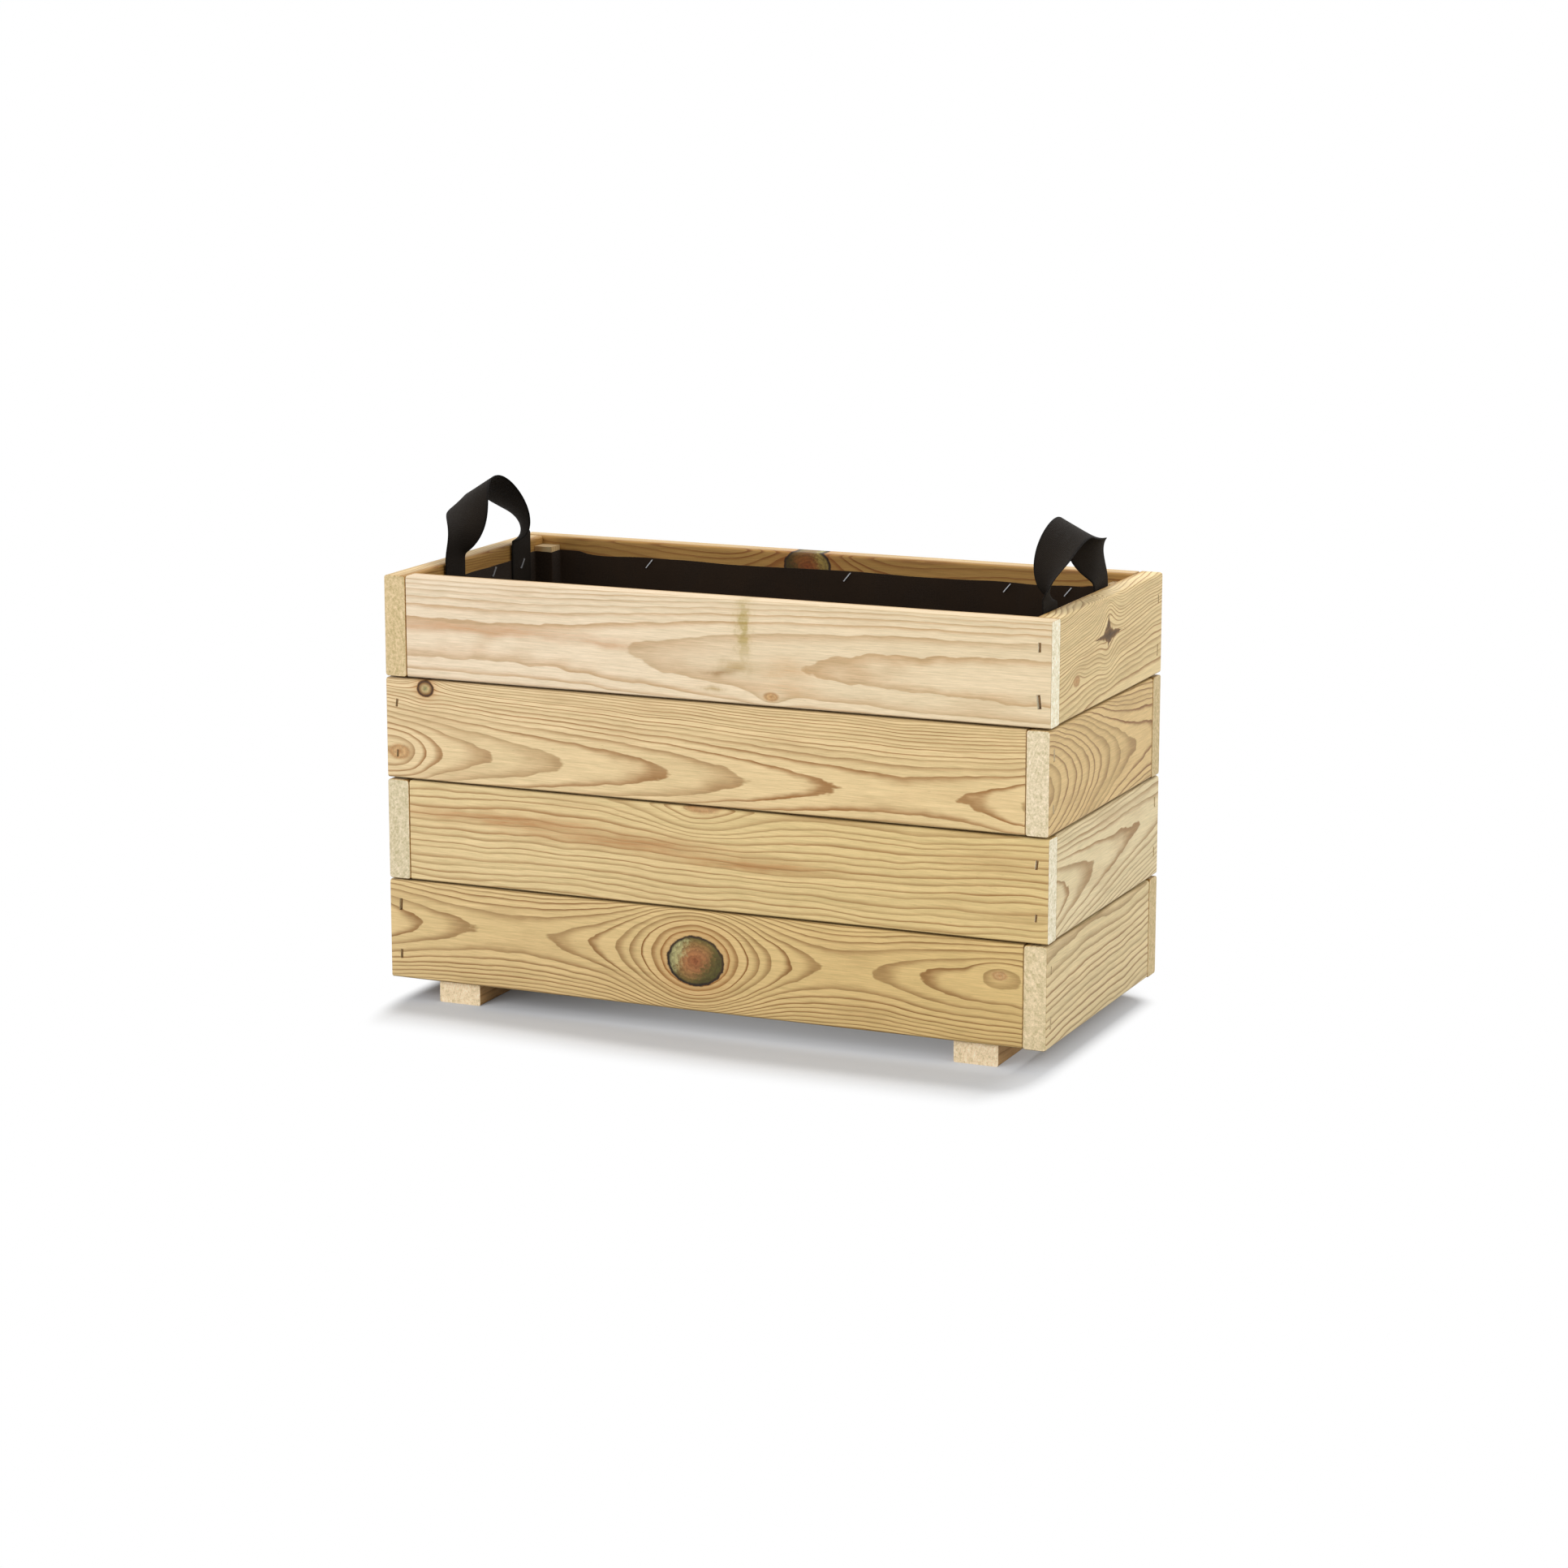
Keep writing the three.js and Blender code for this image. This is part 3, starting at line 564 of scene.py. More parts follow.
def chosen_log(seed):
    """A log for a board that the photograph doesn't show."""
    dice = random.Random(seed)
    rise, height = [], dice.uniform(-12, 12)
    slope = dice.choice((-1, 1))
    for index in range(8):
        rise.append((-330 + index * 660 / 7, height))
        height = max(-34, min(34, height + slope * dice.uniform(1, 6)))
        if dice.random() < 0.25:
            slope = -slope
    tone = dice.uniform(-7, 7)
    knots = []
    for _ in range(dice.choice((0, 1, 1, 2))):
        size = dice.uniform(6, 15)
        knots.append((dice.uniform(-120, 120), dice.uniform(-32, 32), size * 1.2, size,
                      "sound" if size > 10 else "small", dice.uniform(5, 10)))
    return Log(pith=(dice.uniform(-40, 60), dice.uniform(36, 70)), rise=rise, spacing=dice.uniform(3.8, 5.2),
               pale=(220 + tone, 195 + tone, 149 + tone), dark=(184 + tone, 144 + tone, 92 + tone),
               wander=dice.uniform(3, 6), knots=knots, seed=seed)


def board_solid(length, seed):
    """A planed board along X with round long edges, eased ends and a little unevenness."""
    radius, half = ARRIS_RADIUS, BOARD_THICKNESS / 2
    low, high = radius + BOARD_SHRINK, BOARD_WIDTH - radius - BOARD_SHRINK
    corners = [(half - radius, low, -90), (half - radius, high, 0),
               (radius - half, high, 90), (radius - half, low, 180)]
    section = []
    for y, z, start in corners:
        turns = [math.radians(start + 90 / ARRIS_STEPS * k) for k in range(ARRIS_STEPS + 1)]
        edge = [(y + radius * math.cos(turn), z + radius * math.sin(turn), turn) for turn in turns]
        beside = []
        for (edge_y, edge_z, turn), way in ((edge[0], -BESIDE_ARRIS), (edge[-1], BESIDE_ARRIS)):
            flat = Vector((-math.sin(turn), math.cos(turn)))
            beside.append((edge_y + way * flat.x, edge_z + way * flat.y, turn))
        section += [beside[0], *edge, beside[1]]
    steps = round(length / STATION_SPACING)
    stations = [(-length / 2, END_EASE), (-length / 2 + END_EASE, 0)]
    stations += [(-length / 2 + length * k / steps, 0) for k in range(1, steps)]
    stations += [(length / 2 - END_EASE, 0), (length / 2, END_EASE)]
    verts = []
    for x, inset in stations:
        for y, z, turn in section:
            uneven = BOARD_UNEVENNESS * noise.noise(Vector((x / 55, y / 30 + seed, z / 40)))
            out = uneven - inset - 0.12
            verts.append((x, y + out * math.cos(turn), z + out * math.sin(turn)))
    return verts, loft(len(stations), len(section))


def staple_places(turn, span, reach, course, dice):
    """Frames of a corner joint's two staples: crown up, face outward."""
    places = []
    for share in (0.25, 0.75):
        x = course_sign(course) * (span - BOARD_THICKNESS) / 2
        z = WALL_BASE + course * COURSE_PITCH + share * BOARD_WIDTH
        lean = math.radians(dice.uniform(-7, 7))
        crown = Vector((math.sin(lean), 0, math.cos(lean)))
        outward = Vector((0, -1, 0))
        basis = Matrix((crown, outward.cross(crown), outward)).transposed().to_4x4()
        basis.translation = Vector((x, -reach, z))
        places.append(Matrix.Rotation(turn * math.pi / 2, 4, "Z") @ basis)
    return places


# How far each corner staple was driven, lower one first, where the photograph shows it
DRIVEN = {("front", 0): (0.4, 0.8), ("front", 1): (0.1, 0.35), ("front", 2): (0.1, 0.2),
          ("front", 3): (1, 0.35)}


def slot_solid(place, driven):
    """The crushed slot that a sunk crown lies in, wider at its mouth, where fibres partly closed again."""
    mouth = 3.4 + 3.0 * driven
    # Height, half length and half width, from above the mouth down to the bottom
    levels = [(0.4, mouth, 1.0 + 1.3 * driven), (-0.9, mouth - 0.4, 0.9 + 0.6 * driven),
              (-2.4, mouth - 0.6, 0.9)]
    verts = []
    for height, long, wide in levels:
        for x, y in ((-long, -wide), (long, -wide), (long, wide), (-long, wide)):
            verts.append(place @ Vector((x, y, height)))
    faces = [(0, 1, 2, 3), (11, 10, 9, 8)]
    for ring in (0, 4):
        for k in range(4):
            a, b = ring + k, ring + (k + 1) % 4
            faces.append((a, a + 4, b + 4, b))
    return verts, faces


def wire_solid(place, driven):
    """One staple's wire: its crown in the slot and the start of its legs in the wood."""
    half, bend, depth = CROWN_LENGTH / 2 - WIRE_THICKNESS / 2, WIRE_BEND, 1.1 + 0.6 * driven
    path = [(-half, -depth - WIRE_LEG), (-half, -depth - bend), (-half + bend * 0.3, -depth - bend * 0.3),
            (-half + bend, -depth), (half - bend, -depth), (half - bend * 0.3, -depth - bend * 0.3),
            (half, -depth - bend), (half, -depth - WIRE_LEG)]
    verts, faces = tube([Vector((x, 0, z)) for x, z in path], WIRE_THICKNESS / 2)
    return [place @ vert for vert in verts], faces


def join(parts):
    """Points and faces of several bodies as one."""
    verts, faces = [], []
    for more, sides in parts:
        faces += [tuple(index + len(verts) for index in face) for face in sides]
        verts += more
    return verts, faces


def staple_steel(name, bright, stained):
    """Staple wire gone dull, with stains from damp wood."""
    g = Graph(bpy.data.materials.new(name))
    dull = g.noise(g.place(), 3.0, 0.6)
    shader = g.surface(g.mix(g.step(dull, 0.02, 0.3), linear(bright), linear(stained)),
                       g.add(0.42, g.mul(dull, 0.5)), dull, 0.00005, specular=0.5)
    shader.inputs["Metallic"].default_value = 0.7
    return g.owner


rusty_steel = staple_steel("staple_wire_rusty", (140, 108, 70), (80, 54, 32))
clean_steel = staple_steel("staple_wire_clean", (206, 208, 212), (146, 140, 130))

# Boards, each with the slots and wires of its corner staples
dice = random.Random(5)
wires = []
for name, turn, span, reach in SIDES:
    for course in range(COURSES):
        node = f"{name}_board_{course + 1}"
        length = span - BOARD_THICKNESS - CLEARANCE
        middle = WALL_BASE + course * COURSE_PITCH + BOARD_WIDTH / 2
        seed = 41 + 10 * turn + course
        log = LOGS.get(node) or chosen_log(seed)
        # The last argument darkens and ambers the inner faces as painted shade
        material = wood(f"pine_{node}", log, turn, reach, middle, (0.6, 0.45, 0.235))
        verts, faces = board_solid(length, seed)
        shift = course_sign(course) * (BOARD_THICKNESS + CLEARANCE) / 2
        place = Matrix.Rotation(turn * math.pi / 2, 4, "Z") @ Matrix.Translation(
            (shift, BOARD_THICKNESS / 2 - reach, WALL_BASE + course * COURSE_PITCH))
        board = new_piece(f"board_{node}", [place @ Vector(v) for v in verts], faces, material, 25)
        staples = staple_places(turn, span, reach, course, dice)
        driven = DRIVEN.get((name, course)) or (dice.uniform(0.1, 0.9), dice.uniform(0.1, 0.9))
        slots = new_piece("slots", *join([slot_solid(*s) for s in zip(staples, driven)]), material)
        cut(board, slots)
        bpy.data.objects.remove(slots)
        finish_mesh(board, material, 25)
        wires += [wire_solid(*s) for s in zip(staples, driven)]
        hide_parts(node)
        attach(board, "box")
corner_wires = new_piece("corner_staple_wires", *join(wires), rusty_steel, 60)
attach(corner_wires, "box")

# Staples under the feet, one below each timber that a foot crosses
wires = []
slat_middles = [sum(corner[1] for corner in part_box(f"floor_slat_{k}")) / 2 / MM for k in (1, 2, 3)]
over_foot = BOX_DEPTH / 2 - (FOOT_SETBACK + BOARD_THICKNESS) / 2
for foot_x in (-FOOT_X, FOOT_X):
    for y in (-over_foot, *slat_middles, over_foot):
        basis = Matrix(((1, 0, 0, foot_x), (0, -1, 0, y), (0, 0, -1, 0), (0, 0, 0, 1)))
        wires.append(wire_solid(basis, 1.0))
foot_wires = new_piece("foot_staple_wires", *join(wires), rusty_steel, 60)
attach(foot_wires, "box")

# Timbers that keep their solids: feet, slats and corner posts
for node, x in (("foot_left", -FOOT_X), ("foot_right", FOOT_X)):
    log = Log(pith=(-14, 30), rise=[(-330, -4), (0, 3), (330, -2)], spacing=3.6, seed=x % 7 + 60,
              pale=(214, 172, 116), dark=(184, 136, 78), end_tint=(255, 232, 194))
    paint(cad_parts[node], wood(f"pine_{node}", log, 1, x + 21, 10))
for k in (1, 2, 3):
    node = f"floor_slat_{k}"
    log = Log(pith=(4, 34), rise=[(-330, -8), (-100, 2), (330, 9)], spacing=4.0, seed=70 + k,
              pale=(214, 184, 134), dark=(176, 134, 82))
    paint(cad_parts[node], wood(f"pine_{node}", log, 0, 60 * k, 29))


def post_wood(node, seed):
    """Wood with its grain upright."""
    g = Graph(bpy.data.materials.new(f"pine_{node}"))
    spot = g.place()

    def scaled(x, z):
        return g.stretch(spot, x, x, z, (seed, seed, seed))

    rings = g.node("TexWave", {"Vector": scaled(0.12, 0.004), "Scale": 1.0, "Distortion": 2.0, "Detail": 1.0},
                   wave_type="RINGS", rings_direction="Z").outputs["Fac"]
    fibres = g.noise(scaled(1.8, 0.03), 3.0, 0.65)
    speckle = g.noise(scaled(0.8, 0.8), 3.0, 0.75)
    top = g.step(g.split(g.node("NewGeometry").outputs["Normal"])[2], 0.75, 0.95)
    colour = g.mix(rings, linear((220, 194, 146)), linear((190, 150, 98)))
    # Top end grain: speckled, and darkened by painted shade
    streak = g.add(1.0, g.mul(fibres, 0.2), g.mul(speckle, top, 0.35), g.mul(top, -0.4))
    colour = g.mix(1.0, colour, g.vector(streak, streak, streak), "MULTIPLY")
    g.surface(colour, g.add(0.62, g.mul(fibres, 0.2)), g.add(fibres, g.mul(speckle, top)), 0.0002,
              specular=0.25)
    return g.owner


for seed, corner in enumerate(("front_left", "front_right", "back_right", "back_left")):
    node = f"corner_post_{corner}"
    paint(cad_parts[node], post_wood(node, seed * 13.7))


# Liner: dark cloth stapled to the walls, round the corner posts, slack between its staples

# Where each long side is stapled, as shares of the inner length from the middle
TACKS = {"front": (-0.35, -0.11, 0.14, 0.36), "back": (-0.309, 0.033, 0.299, 0.398)}


def arc(x, y, radius, start, end, steps):
    """Points of an arc, from a start to an end in degrees."""
    turns = [math.radians(start + (end - start) * k / steps) for k in range(steps + 1)]
    return [(x + radius * math.cos(turn), y + radius * math.sin(turn)) for turn in turns]


def liner_outline():
    """Points round the box, anticlockwise from above, each with its share of the slack and its wall."""
    wall_x, wall_y = INNER_LENGTH / 2 - CLEARANCE, INNER_DEPTH / 2 - CLEARANCE
    post_x, post_y = wall_x - POST, wall_y - POST
    bend = CLOTH_BEND

    def corner(sx, sy):
        """From the long wall round a post to the short wall: the front right post, or its mirror image."""
        path = arc(post_x - CLEARANCE - bend, -(wall_y - bend), bend, -90, 0, 5)
        path += [(post_x - CLEARANCE, -wall_y + bend + (POST - bend) * k / 5) for k in range(1, 5)]
        path += arc(post_x, -post_y, CLEARANCE, 180, 90, 3)
        path += [(post_x + (POST - bend) * k / 5, -post_y + CLEARANCE) for k in range(1, 5)]
        path += arc(wall_x - bend, -post_y + CLEARANCE + bend, bend, -90, 0, 5)
        return [(sx * x, -sy * y, 0, None) for x, y in path]

    reach = post_x - CLEARANCE - bend

    def long_side(side):
        anchors = [-reach, *(share * INNER_LENGTH for share in TACKS[side]), reach]
        made = []
        for low, high in zip(anchors, anchors[1:]):
            steps = max(6, round((high - low) / 7))
            for k in range(0 if made else 1, steps):
                made.append((low + (high - low) * k / steps, math.sin(math.pi * k / steps) ** 2))
        return made

    def short_side():
        edge = post_y - CLEARANCE - bend
        return [-edge + 2 * edge * k / 32 for k in range(1, 32)]

    outline = [(x, -wall_y, slack, "front") for x, slack in long_side("front")]
    outline += corner(1, -1)
    outline += [(wall_x, y, 0, "right") for y in short_side()]
    outline += corner(1, 1)[::-1]
    outline += [(x, wall_y, slack, "back") for x, slack in long_side("back")[::-1]]
    outline += corner(-1, 1)
    outline += [(-wall_x, y, 0, "left") for y in short_side()[::-1]]
    outline += corner(-1, -1)[::-1]
    return outline


def liner_solid():
    """The cloth's outer face: down the walls, then inwards over the slats with a sag between them."""
    outline = liner_outline()
    base = SLAT_TOP + CLEARANCE
    # Shares of the way down the walls, closer together near the rim
    levels = [0, 0.004, 0.012, 0.024]
    levels += [0.04 + 0.96 * (k / CLOTH_LEVELS) ** 1.15 for k in range(CLOTH_LEVELS + 1)]
    rings = []
    for share in levels:
        ring = []
        # The slack stands out most a tenth of the way down and is gone at the slats
        hang = 0.55 + 0.45 * min(share / 0.1, 1) if share < 0.1 else max(0.0, 1 - (share - 0.1) / 0.9) ** 0.8
        for x, y, slack, side in outline:
            beyond = max(abs(x) - INNER_LENGTH / 2 + 50, 0) * max(abs(y) - INNER_DEPTH / 2 + 40, 0)
            wave = 0.5 * noise.noise(Vector((x / 30, y / 30, 3)))
            top = LINER_TOP - 0.8 * slack + min(beyond / 400, 1) * 2.5 + wave
            z = top + (base - top) * share
            if side in ("front", "back"):
                fold = 0.5 + 0.5 * noise.noise(Vector((x / 38, z / 120, 9 if side == "front" else 17)))
                crease = noise.noise(Vector((x / 9, z / 45, 5)))
                inward = CLOTH_SLACK * slack * hang * (0.55 + 0.45 * fold) + 0.5 * abs(crease) * slack * hang
                y -= math.copysign(min(inward, CLOTH_MOST_SLACK), y)
            elif side:
                x -= math.copysign(0.12 * (1 + noise.noise(Vector((y / 25, z / 60, 2)))), x)
            ring.append(Vector((x, y, z)))
        rings.append(ring)
    half = INNER_LENGTH / 2 - INNER_DEPTH / 2
    gaps = [(slat_middles[k] + slat_middles[k + 1]) / 2 for k in (0, 1)]
    for k in range(1, CLOTH_RINGS + 1):
        ring = []
        share = k / CLOTH_RINGS
        for x, y, *_ in outline:
            centre = max(-half, min(half, x))
            px, py = x + (centre - x) * share, y * (1 - share)
            sag = CLOTH_SAG * max(0.0, 1 - (min(abs(py - gap) for gap in gaps) / HALF_SLAT_GAP) ** 2)
            lift = CLOTH_LIFT * (0.5 + 0.5 * noise.noise(Vector((px / 70, py / 50, 8)))) * min(1, share * 4)
            ring.append(Vector((px, py, base + lift * (sag == 0) - sag * min(1, share * 3))))
        rings.append(ring)
    return [point for ring in rings for point in ring], loft(len(rings), len(outline), capped=False)


def cloth_material():
    """Felted dark fleece with small pressed dots."""
    g = Graph(bpy.data.materials.new("liner_cloth"))
    spot = g.place()
    felt = g.noise(g.stretch(spot, 1.6, 1.6, 1.6), 4.0, 0.7)
    patch = g.noise(g.stretch(spot, 0.02, 0.02, 0.02), 2.0)
    dots = g.node("TexVoronoi", {"Vector": spot, "Scale": 0.62, "Randomness": 0.25}).outputs["Distance"]
    pressed = g.sub(1.0, g.step(dots, 0.18, 0.42))
    worn = g.add(0.5, g.mul(felt, 1.1), g.mul(patch, 0.8))
    colour = g.mix(worn, linear((29, 20, 12)), linear((49, 35, 22)))
    colour = g.mix(g.mul(pressed, 0.35), colour, linear((25, 17, 10)))
    g.surface(colour, g.add(0.86, g.mul(pressed, -0.14)), g.sub(g.mul(felt, 1.2), pressed), 0.00022,
              specular=0.14, sheen=0.05)
    return g.owner


liner = new_piece("cloth_liner", *liner_solid(), cloth_material(), 60)
# The rings end on one line, whose points are merged, and the cloth faces up before it gets its thickness
bm = bmesh.new()
bm.from_mesh(liner.data)
bmesh.ops.remove_doubles(bm, verts=bm.verts, dist=2e-5)
bmesh.ops.recalc_face_normals(bm, faces=bm.faces)
up_faces = sum(face.normal.z * face.calc_area() for face in bm.faces)
if up_faces < 0:
    bmesh.ops.reverse_faces(bm, faces=bm.faces)
bm.to_mesh(liner.data)
bm.free()
thick = liner.modifiers.new("cloth", "SOLIDIFY")
thick.thickness = CLOTH_THICKNESS * MM
thick.offset = 1
bpy.context.view_layer.update()
liner.data = bpy.data.meshes.new_from_object(liner.evaluated_get(bpy.context.evaluated_depsgraph_get()))
liner.modifiers.clear()
liner.data.shade_smooth()
liner.data.set_sharp_from_angle(angle=math.radians(50))
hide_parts("liner")
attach(liner, "box")


# Webbing handles: one strap each, from a tail inside the wall up through the loop and down again

def loop_centre(angle, form):
    """The loop's middle line, from one foot (0) to the other (pi), above the hinge line."""
    side, swing = math.sin(angle), math.sin(2 * angle)
    reach = LOOP_SPREAD / 2 * (1 + form["upright"] * side ** 2 - form["squeeze"] * side ** 4)
    return Vector((LOOP_SWAY * swing * swing - form["out"] * side * side,
                   form["lean"] * side ** 4 - reach * math.cos(angle),
                   form["rise"] * side * (1 - form["point"] + form["point"] * side ** 3) + 1))


def strap_station(angle, form):
    """The loop's middle, its direction across and its facing at an angle."""
    side, ahead = max(0.0, math.sin(angle)), math.cos(angle)
    tangent = Vector((0, 0, ahead))
    if side > 1e-6:
        tangent = (loop_centre(angle + 1e-3, form) - loop_centre(angle - 1e-3, form)).normalized()
    lead = angle + LOOP_TWIST_LEAD * side * side
    steepness = LOOP_STEEPNESS[0 if lead < math.pi / 2 else 1]
    raised = max(0.0, (math.sin(lead) - LOOP_FLAT_SHARE) / (1 - LOOP_FLAT_SHARE))
    turn = math.radians(90 - form["twist"] * raised ** steepness)
    across = Vector((math.cos(turn), math.sin(turn) * ahead, -math.sin(turn) * side))
    across = (across - tangent * across.dot(tangent)).normalized()
    return loop_centre(angle, form), across, tangent.cross(across)


def strap_solid(form, seed):
    """The whole strap in the handle's own frame, with each point's place on the flat strap."""
    stations = []
    bottom = 0.9 - STRAP_THICKNESS / 2 - CLEARANCE - STRAP_TAIL
    y = LOOP_SPREAD / 2
    for k in range(TAIL_STEPS):
        z = bottom + (TAIL_TOP - bottom) * k / TAIL_STEPS
        stations.append((Vector((0, -y, z)), Vector((0, 1, 0)), Vector((-1, 0, 0))))
    for k in range(LOOP_STEPS + 1):
        stations.append(strap_station(math.pi * k / LOOP_STEPS, form))
    for k in range(TAIL_STEPS):
        z = TAIL_TOP + (bottom - TAIL_TOP) * (k + 1) / TAIL_STEPS
        stations.append((Vector((0, y, z)), Vector((0, -1, 0)), Vector((-1, 0, 0))))
    # Section: flat with rounded edges, each thickened a little by its selvedge
    across_shares = [-1, -0.985, -0.95, -0.88, -0.75, -0.5, -0.25, 0, 0.25, 0.5, 0.75, 0.88, 0.95, 0.985, 1]
    ring_shape = []
    for sign in (1, -1):
        for share in across_shares[::sign]:
            edge = math.sqrt(max(0.0, 1 - abs(share) ** 30))
            roll = 1 + 0.12 * math.exp(-((abs(share) - 0.93) / 0.05) ** 2)
            ring_shape.append((share, sign * edge * roll * 0.9))
    ring_shape = [p for k, p in enumerate(ring_shape) if p != ring_shape[k - 1]]
    verts, coords = [], []
    run = 0.0
    for index, (centre, across, facing) in enumerate(stations):
        if index:
            run += (centre - stations[index - 1][0]).length
        ripple = 0.18 * noise.noise(Vector((run / 16, seed, 0)))
        for share, thick in ring_shape:
            cup = 0.22 * noise.noise(Vector((run / 22, share * 1.3, seed)))
            offset = thick * STRAP_THICKNESS / 2 + (cup + ripple) * 0.4
            verts.append(centre + across * share * STRAP_WIDTH / 2 + facing * offset)
            coords.append((share * STRAP_WIDTH / 2, run))
    return verts, loft(len(stations), len(ring_shape)), coords


def webbing_material():
    """Herringbone weave, laid along the strap."""
    g = Graph(bpy.data.materials.new("webbing"))
    where = g.split(g.node("UVMap", uv_map="weave").outputs[0])
    across = g.mul(where[0], 1000)
    along = g.mul(where[1], 1000)
    zigzag = g.mul(g.math("PINGPONG", across, 4.75), 0.6)
    ribs = g.math("SINE", g.mul(g.add(along, zigzag), 2 * math.pi / 1.5))
    yarns = g.math("SINE", g.mul(across, 2 * math.pi / 0.95))
    weave = g.add(g.mul(ribs, 0.5), g.mul(yarns, 0.35), g.mul(ribs, yarns, 0.25))
    fuzz = g.noise(g.vector(g.mul(across, 1.7), g.mul(along, 1.1), 0.0), 3.0, 0.7)
    wear = g.noise(g.vector(g.mul(across, 0.05), g.mul(along, 0.03), 4.0), 2.0)
    selvedge = g.step(g.math("ABSOLUTE", across), 16.2, 18.2)
    colour = g.mix(g.add(0.45, g.mul(weave, 0.35), g.mul(fuzz, 0.5), g.mul(wear, 0.5), g.mul(selvedge, -0.5)),
                   linear((13, 9, 6)), linear((39, 31, 22)))
    g.surface(colour, g.add(0.74, g.mul(fuzz, 0.2)), g.add(weave, g.mul(fuzz, 0.6)), 0.00022, specular=0.12)
    return g.owner


webbing = webbing_material()
for name, sign, offset, form in HANDLES:
    verts, faces, coords = strap_solid(form, 3 + sign)
    seat = Matrix.Translation((sign * (INNER_LENGTH / 2 - STRAP_TO_WALL), offset, RIM))
    if sign > 0:
        seat = seat @ Matrix.Rotation(math.pi, 4, "Z")
    mesh = bpy.data.meshes.new(f"webbing_{name}")
    mesh.from_pydata([seat @ v * MM for v in verts], [], faces)
    layer = mesh.uv_layers.new(name="weave")
    for loop in mesh.loops:
        u, v = coords[loop.vertex_index]
        layer.data[loop.index].uv = (u * MM, v * MM)
    strap = bpy.data.objects.new(f"webbing_{name}", mesh)
    bpy.context.collection.objects.link(strap)
    finish_mesh(strap, webbing, 60)
    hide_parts(f"handle_{name}", f"handle_{name}_tail_front", f"handle_{name}_tail_back")
    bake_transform(strap)

# Staples that hold the cloth and the webbing keep their solids
for node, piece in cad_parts.items():
    if "staple" in node:
        paint(piece, clean_steel)


# Studio

# Floor: grey where the box shades it, with a painted shadow in front and a painted glow that lightens the
# shade close to the box, and white further out, as in the photograph, in metres
g = Graph(bpy.data.materials.new("floor"))
spot = g.node("TexCoord").outputs["Object"]
x, y, _ = g.split(spot)
rightwards = g.step(x, 0.28, 0.33)
beside = g.math("MAXIMUM", g.sub(g.math("ABSOLUTE", x), 0.292), 0.0)
beside = g.mul(beside, g.add(3.7, g.mul(rightwards, -1.1)))
ahead = g.math("MAXIMUM", g.sub(g.math("ABSOLUTE", y), 0.15), 0.0)
behind = g.step(y, 0.1, 0.15)
ahead = g.add(ahead, g.mul(g.step(x, 0.1, -0.34), 0.026), g.mul(behind, 0.1))
distance = g.math("SQRT", g.add(g.mul(beside, beside), g.mul(ahead, ahead)))
# Painted light: a share of white glow lightens the shade under the box and along its right end
below = g.mul(g.sub(1.0, g.step(distance, 0.0, 0.03)), 0.2)
below = g.math("MAXIMUM", below, g.mul(rightwards, 0.31))
away = g.mul(g.math("MAXIMUM", below, g.step(distance, 0.052, 0.128)), g.seen())
dust = g.noise(g.stretch(spot, 90, 90, 90), 3.0)
pale = g.mix(g.add(0.5, dust), (0.77, 0.79, 0.83, 1), (0.79, 0.81, 0.85, 1))
# Painted shadow: the floor's colour is darkened under the box and up to about 8 cm in front of it
pale = g.mix(g.step(ahead, 0.05, 0.085), g.mix(1.0, pale, (0.8, 0.8, 0.8, 1), "MULTIPLY"), pale)
near = g.node("BsdfDiffuse", {"Color": pale, "Roughness": 0.5})
white = g.node("Emission", {"Color": (1, 1, 1, 1), "Strength": 1.0})
both = g.node("MixShader", {0: away, 1: near.outputs[0], 2: white.outputs[0]})
g.node("OutputMaterial", {"Surface": both.outputs[0]})
floor = bpy.data.objects.new("floor", bpy.data.meshes.new("floor"))
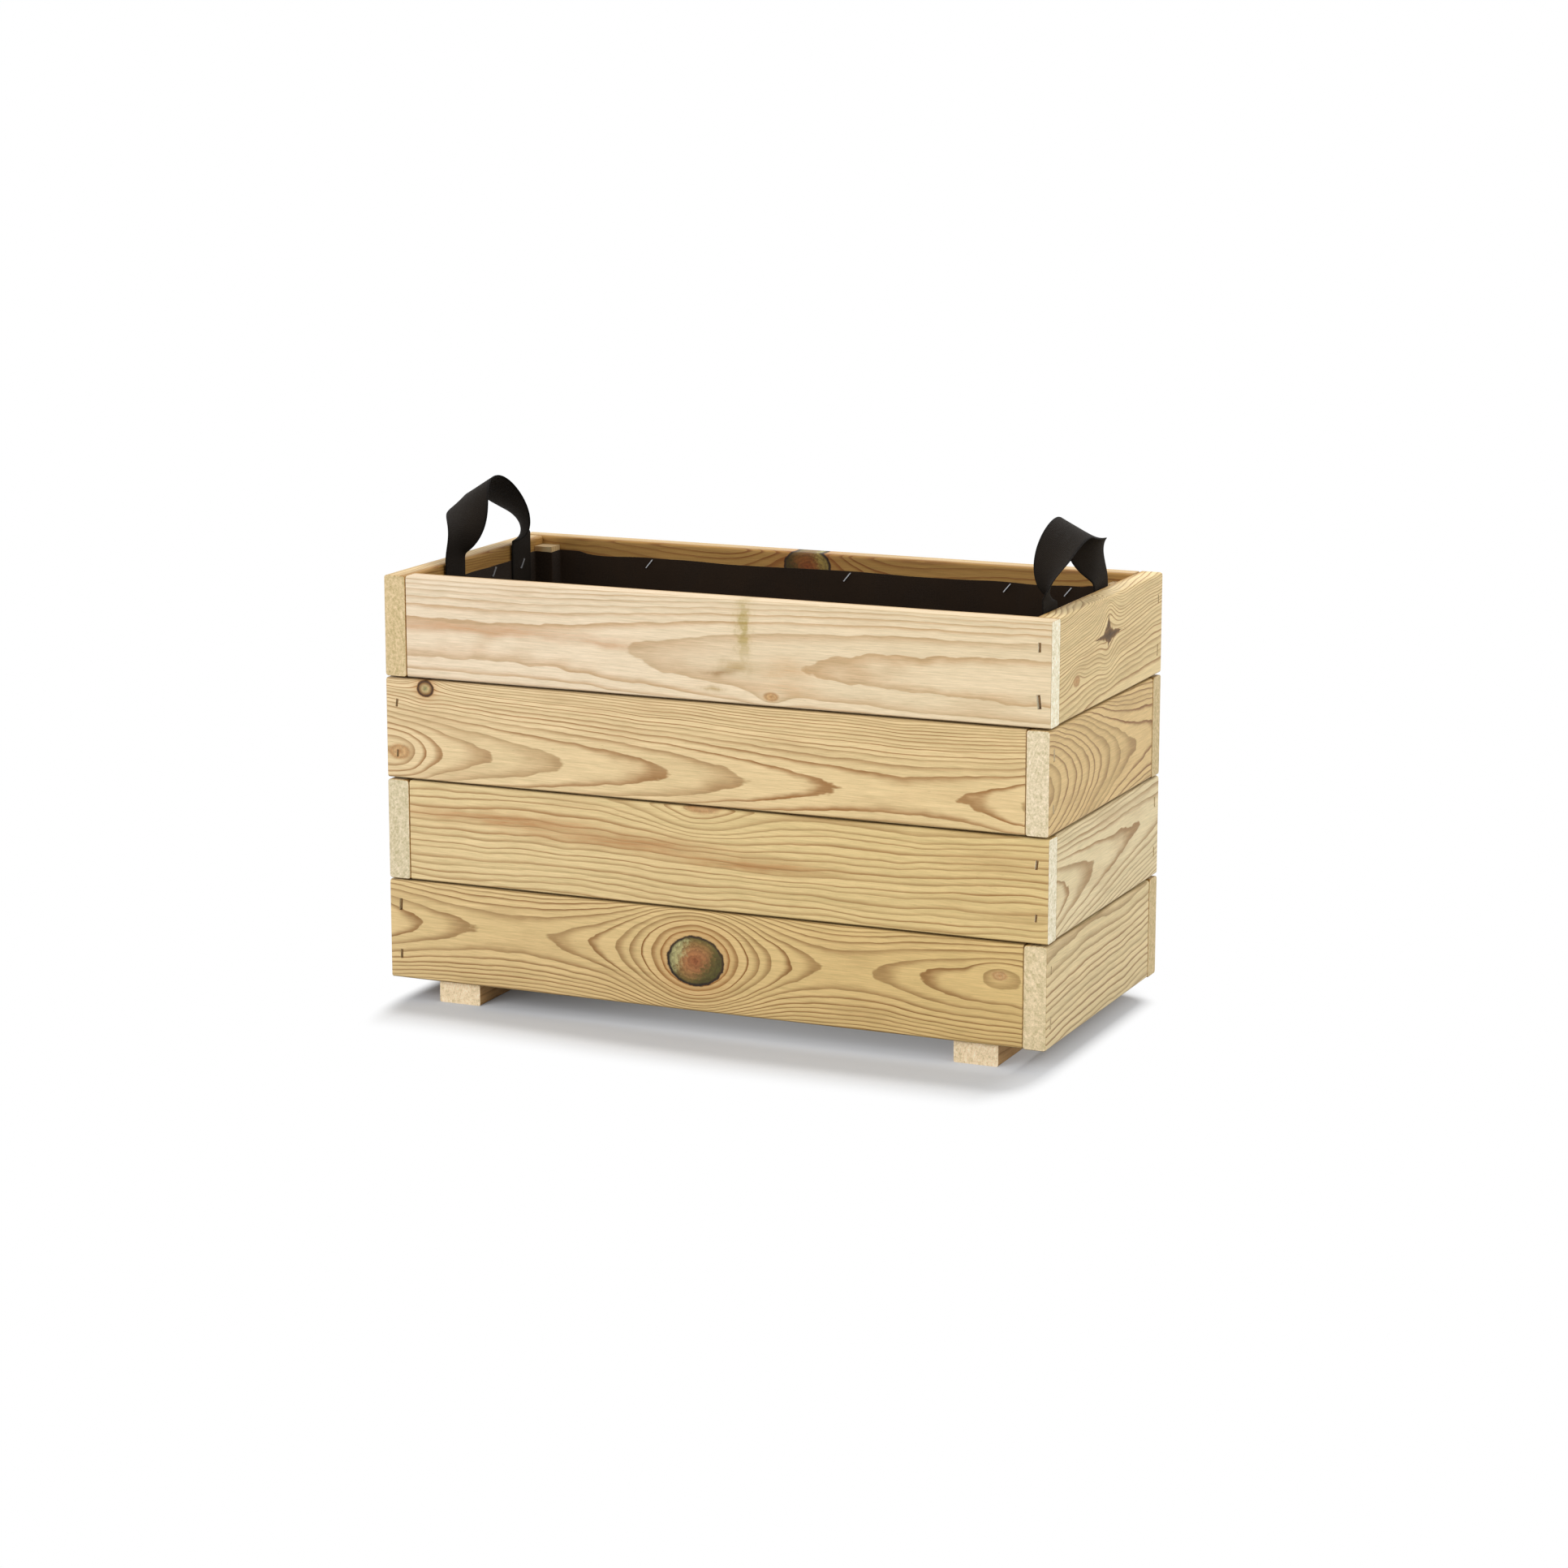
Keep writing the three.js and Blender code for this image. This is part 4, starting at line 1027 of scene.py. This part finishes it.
floor.data.from_pydata([(-9, -9, 0), (9, -9, 0), (9, 9, 0), (-9, 9, 0)], [], [(0, 1, 2, 3)])
floor.data.materials.append(g.owner)
bpy.context.collection.objects.link(floor)

# World: soft light, and white where the camera sees it
world = bpy.data.worlds.new("studio")
bpy.context.scene.world = world
g = Graph(world)
soft = g.node("Background", {"Color": (1.0, 0.99, 0.975, 1), "Strength": 0.55})
bright = g.node("Background", {"Color": (1, 1, 1, 1), "Strength": 1.0})
chosen = g.node("MixShader", {0: g.seen(), 1: soft.outputs[0], 2: bright.outputs[0]})
g.node("OutputWorld", {"Surface": chosen.outputs[0]})


def lamp(name, place, size, power, colour=(1, 1, 1)):
    """A square area lamp, aimed at the middle of the box."""
    data = bpy.data.lights.new(name, "AREA")
    data.color = colour
    data.shape, data.size, data.energy = "SQUARE", size, power
    made = bpy.data.objects.new(name, data)
    made.location = place
    made.rotation_mode = "QUATERNION"
    made.rotation_quaternion = (LAMP_AIM - Vector(place)).to_track_quat("-Z", "Y")
    bpy.context.collection.objects.link(made)


LAMP_AIM = Vector((0, 0, 0.2))
lamp("overhead", (0.0, 1.2, 2.5), 1.8, 40)
lamp("front", (-1.3, -3.2, 1.65), 2.4, 54)
lamp("right", (2.6, -0.5, 1.3), 1.6, 16, (1, 0.96, 0.86))

# Camera, fitted to the photograph
CAMERA_PLACE = (1.45664, -3.31033, 0.96604)
CAMERA_AIM = (-0.39183, 0.89661, -0.20632)
CAMERA_TURN = math.radians(23.606)
CAMERA_LENS = 91.36
camera = bpy.data.objects.new("camera", bpy.data.cameras.new("camera"))
bpy.context.collection.objects.link(camera)
forward = Vector(CAMERA_AIM).normalized()
sideways = Vector((math.cos(CAMERA_TURN), math.sin(CAMERA_TURN), 0))
axes = Matrix((sideways, sideways.cross(forward), -forward)).transposed().to_4x4()
camera.matrix_world = Matrix.Translation(CAMERA_PLACE) @ axes
camera.data.sensor_fit = "HORIZONTAL"
camera.data.sensor_width = 36
camera.data.lens = CAMERA_LENS
camera.data.clip_end = 50
bpy.context.scene.camera = camera
bpy.context.scene.view_settings.view_transform = "Standard"
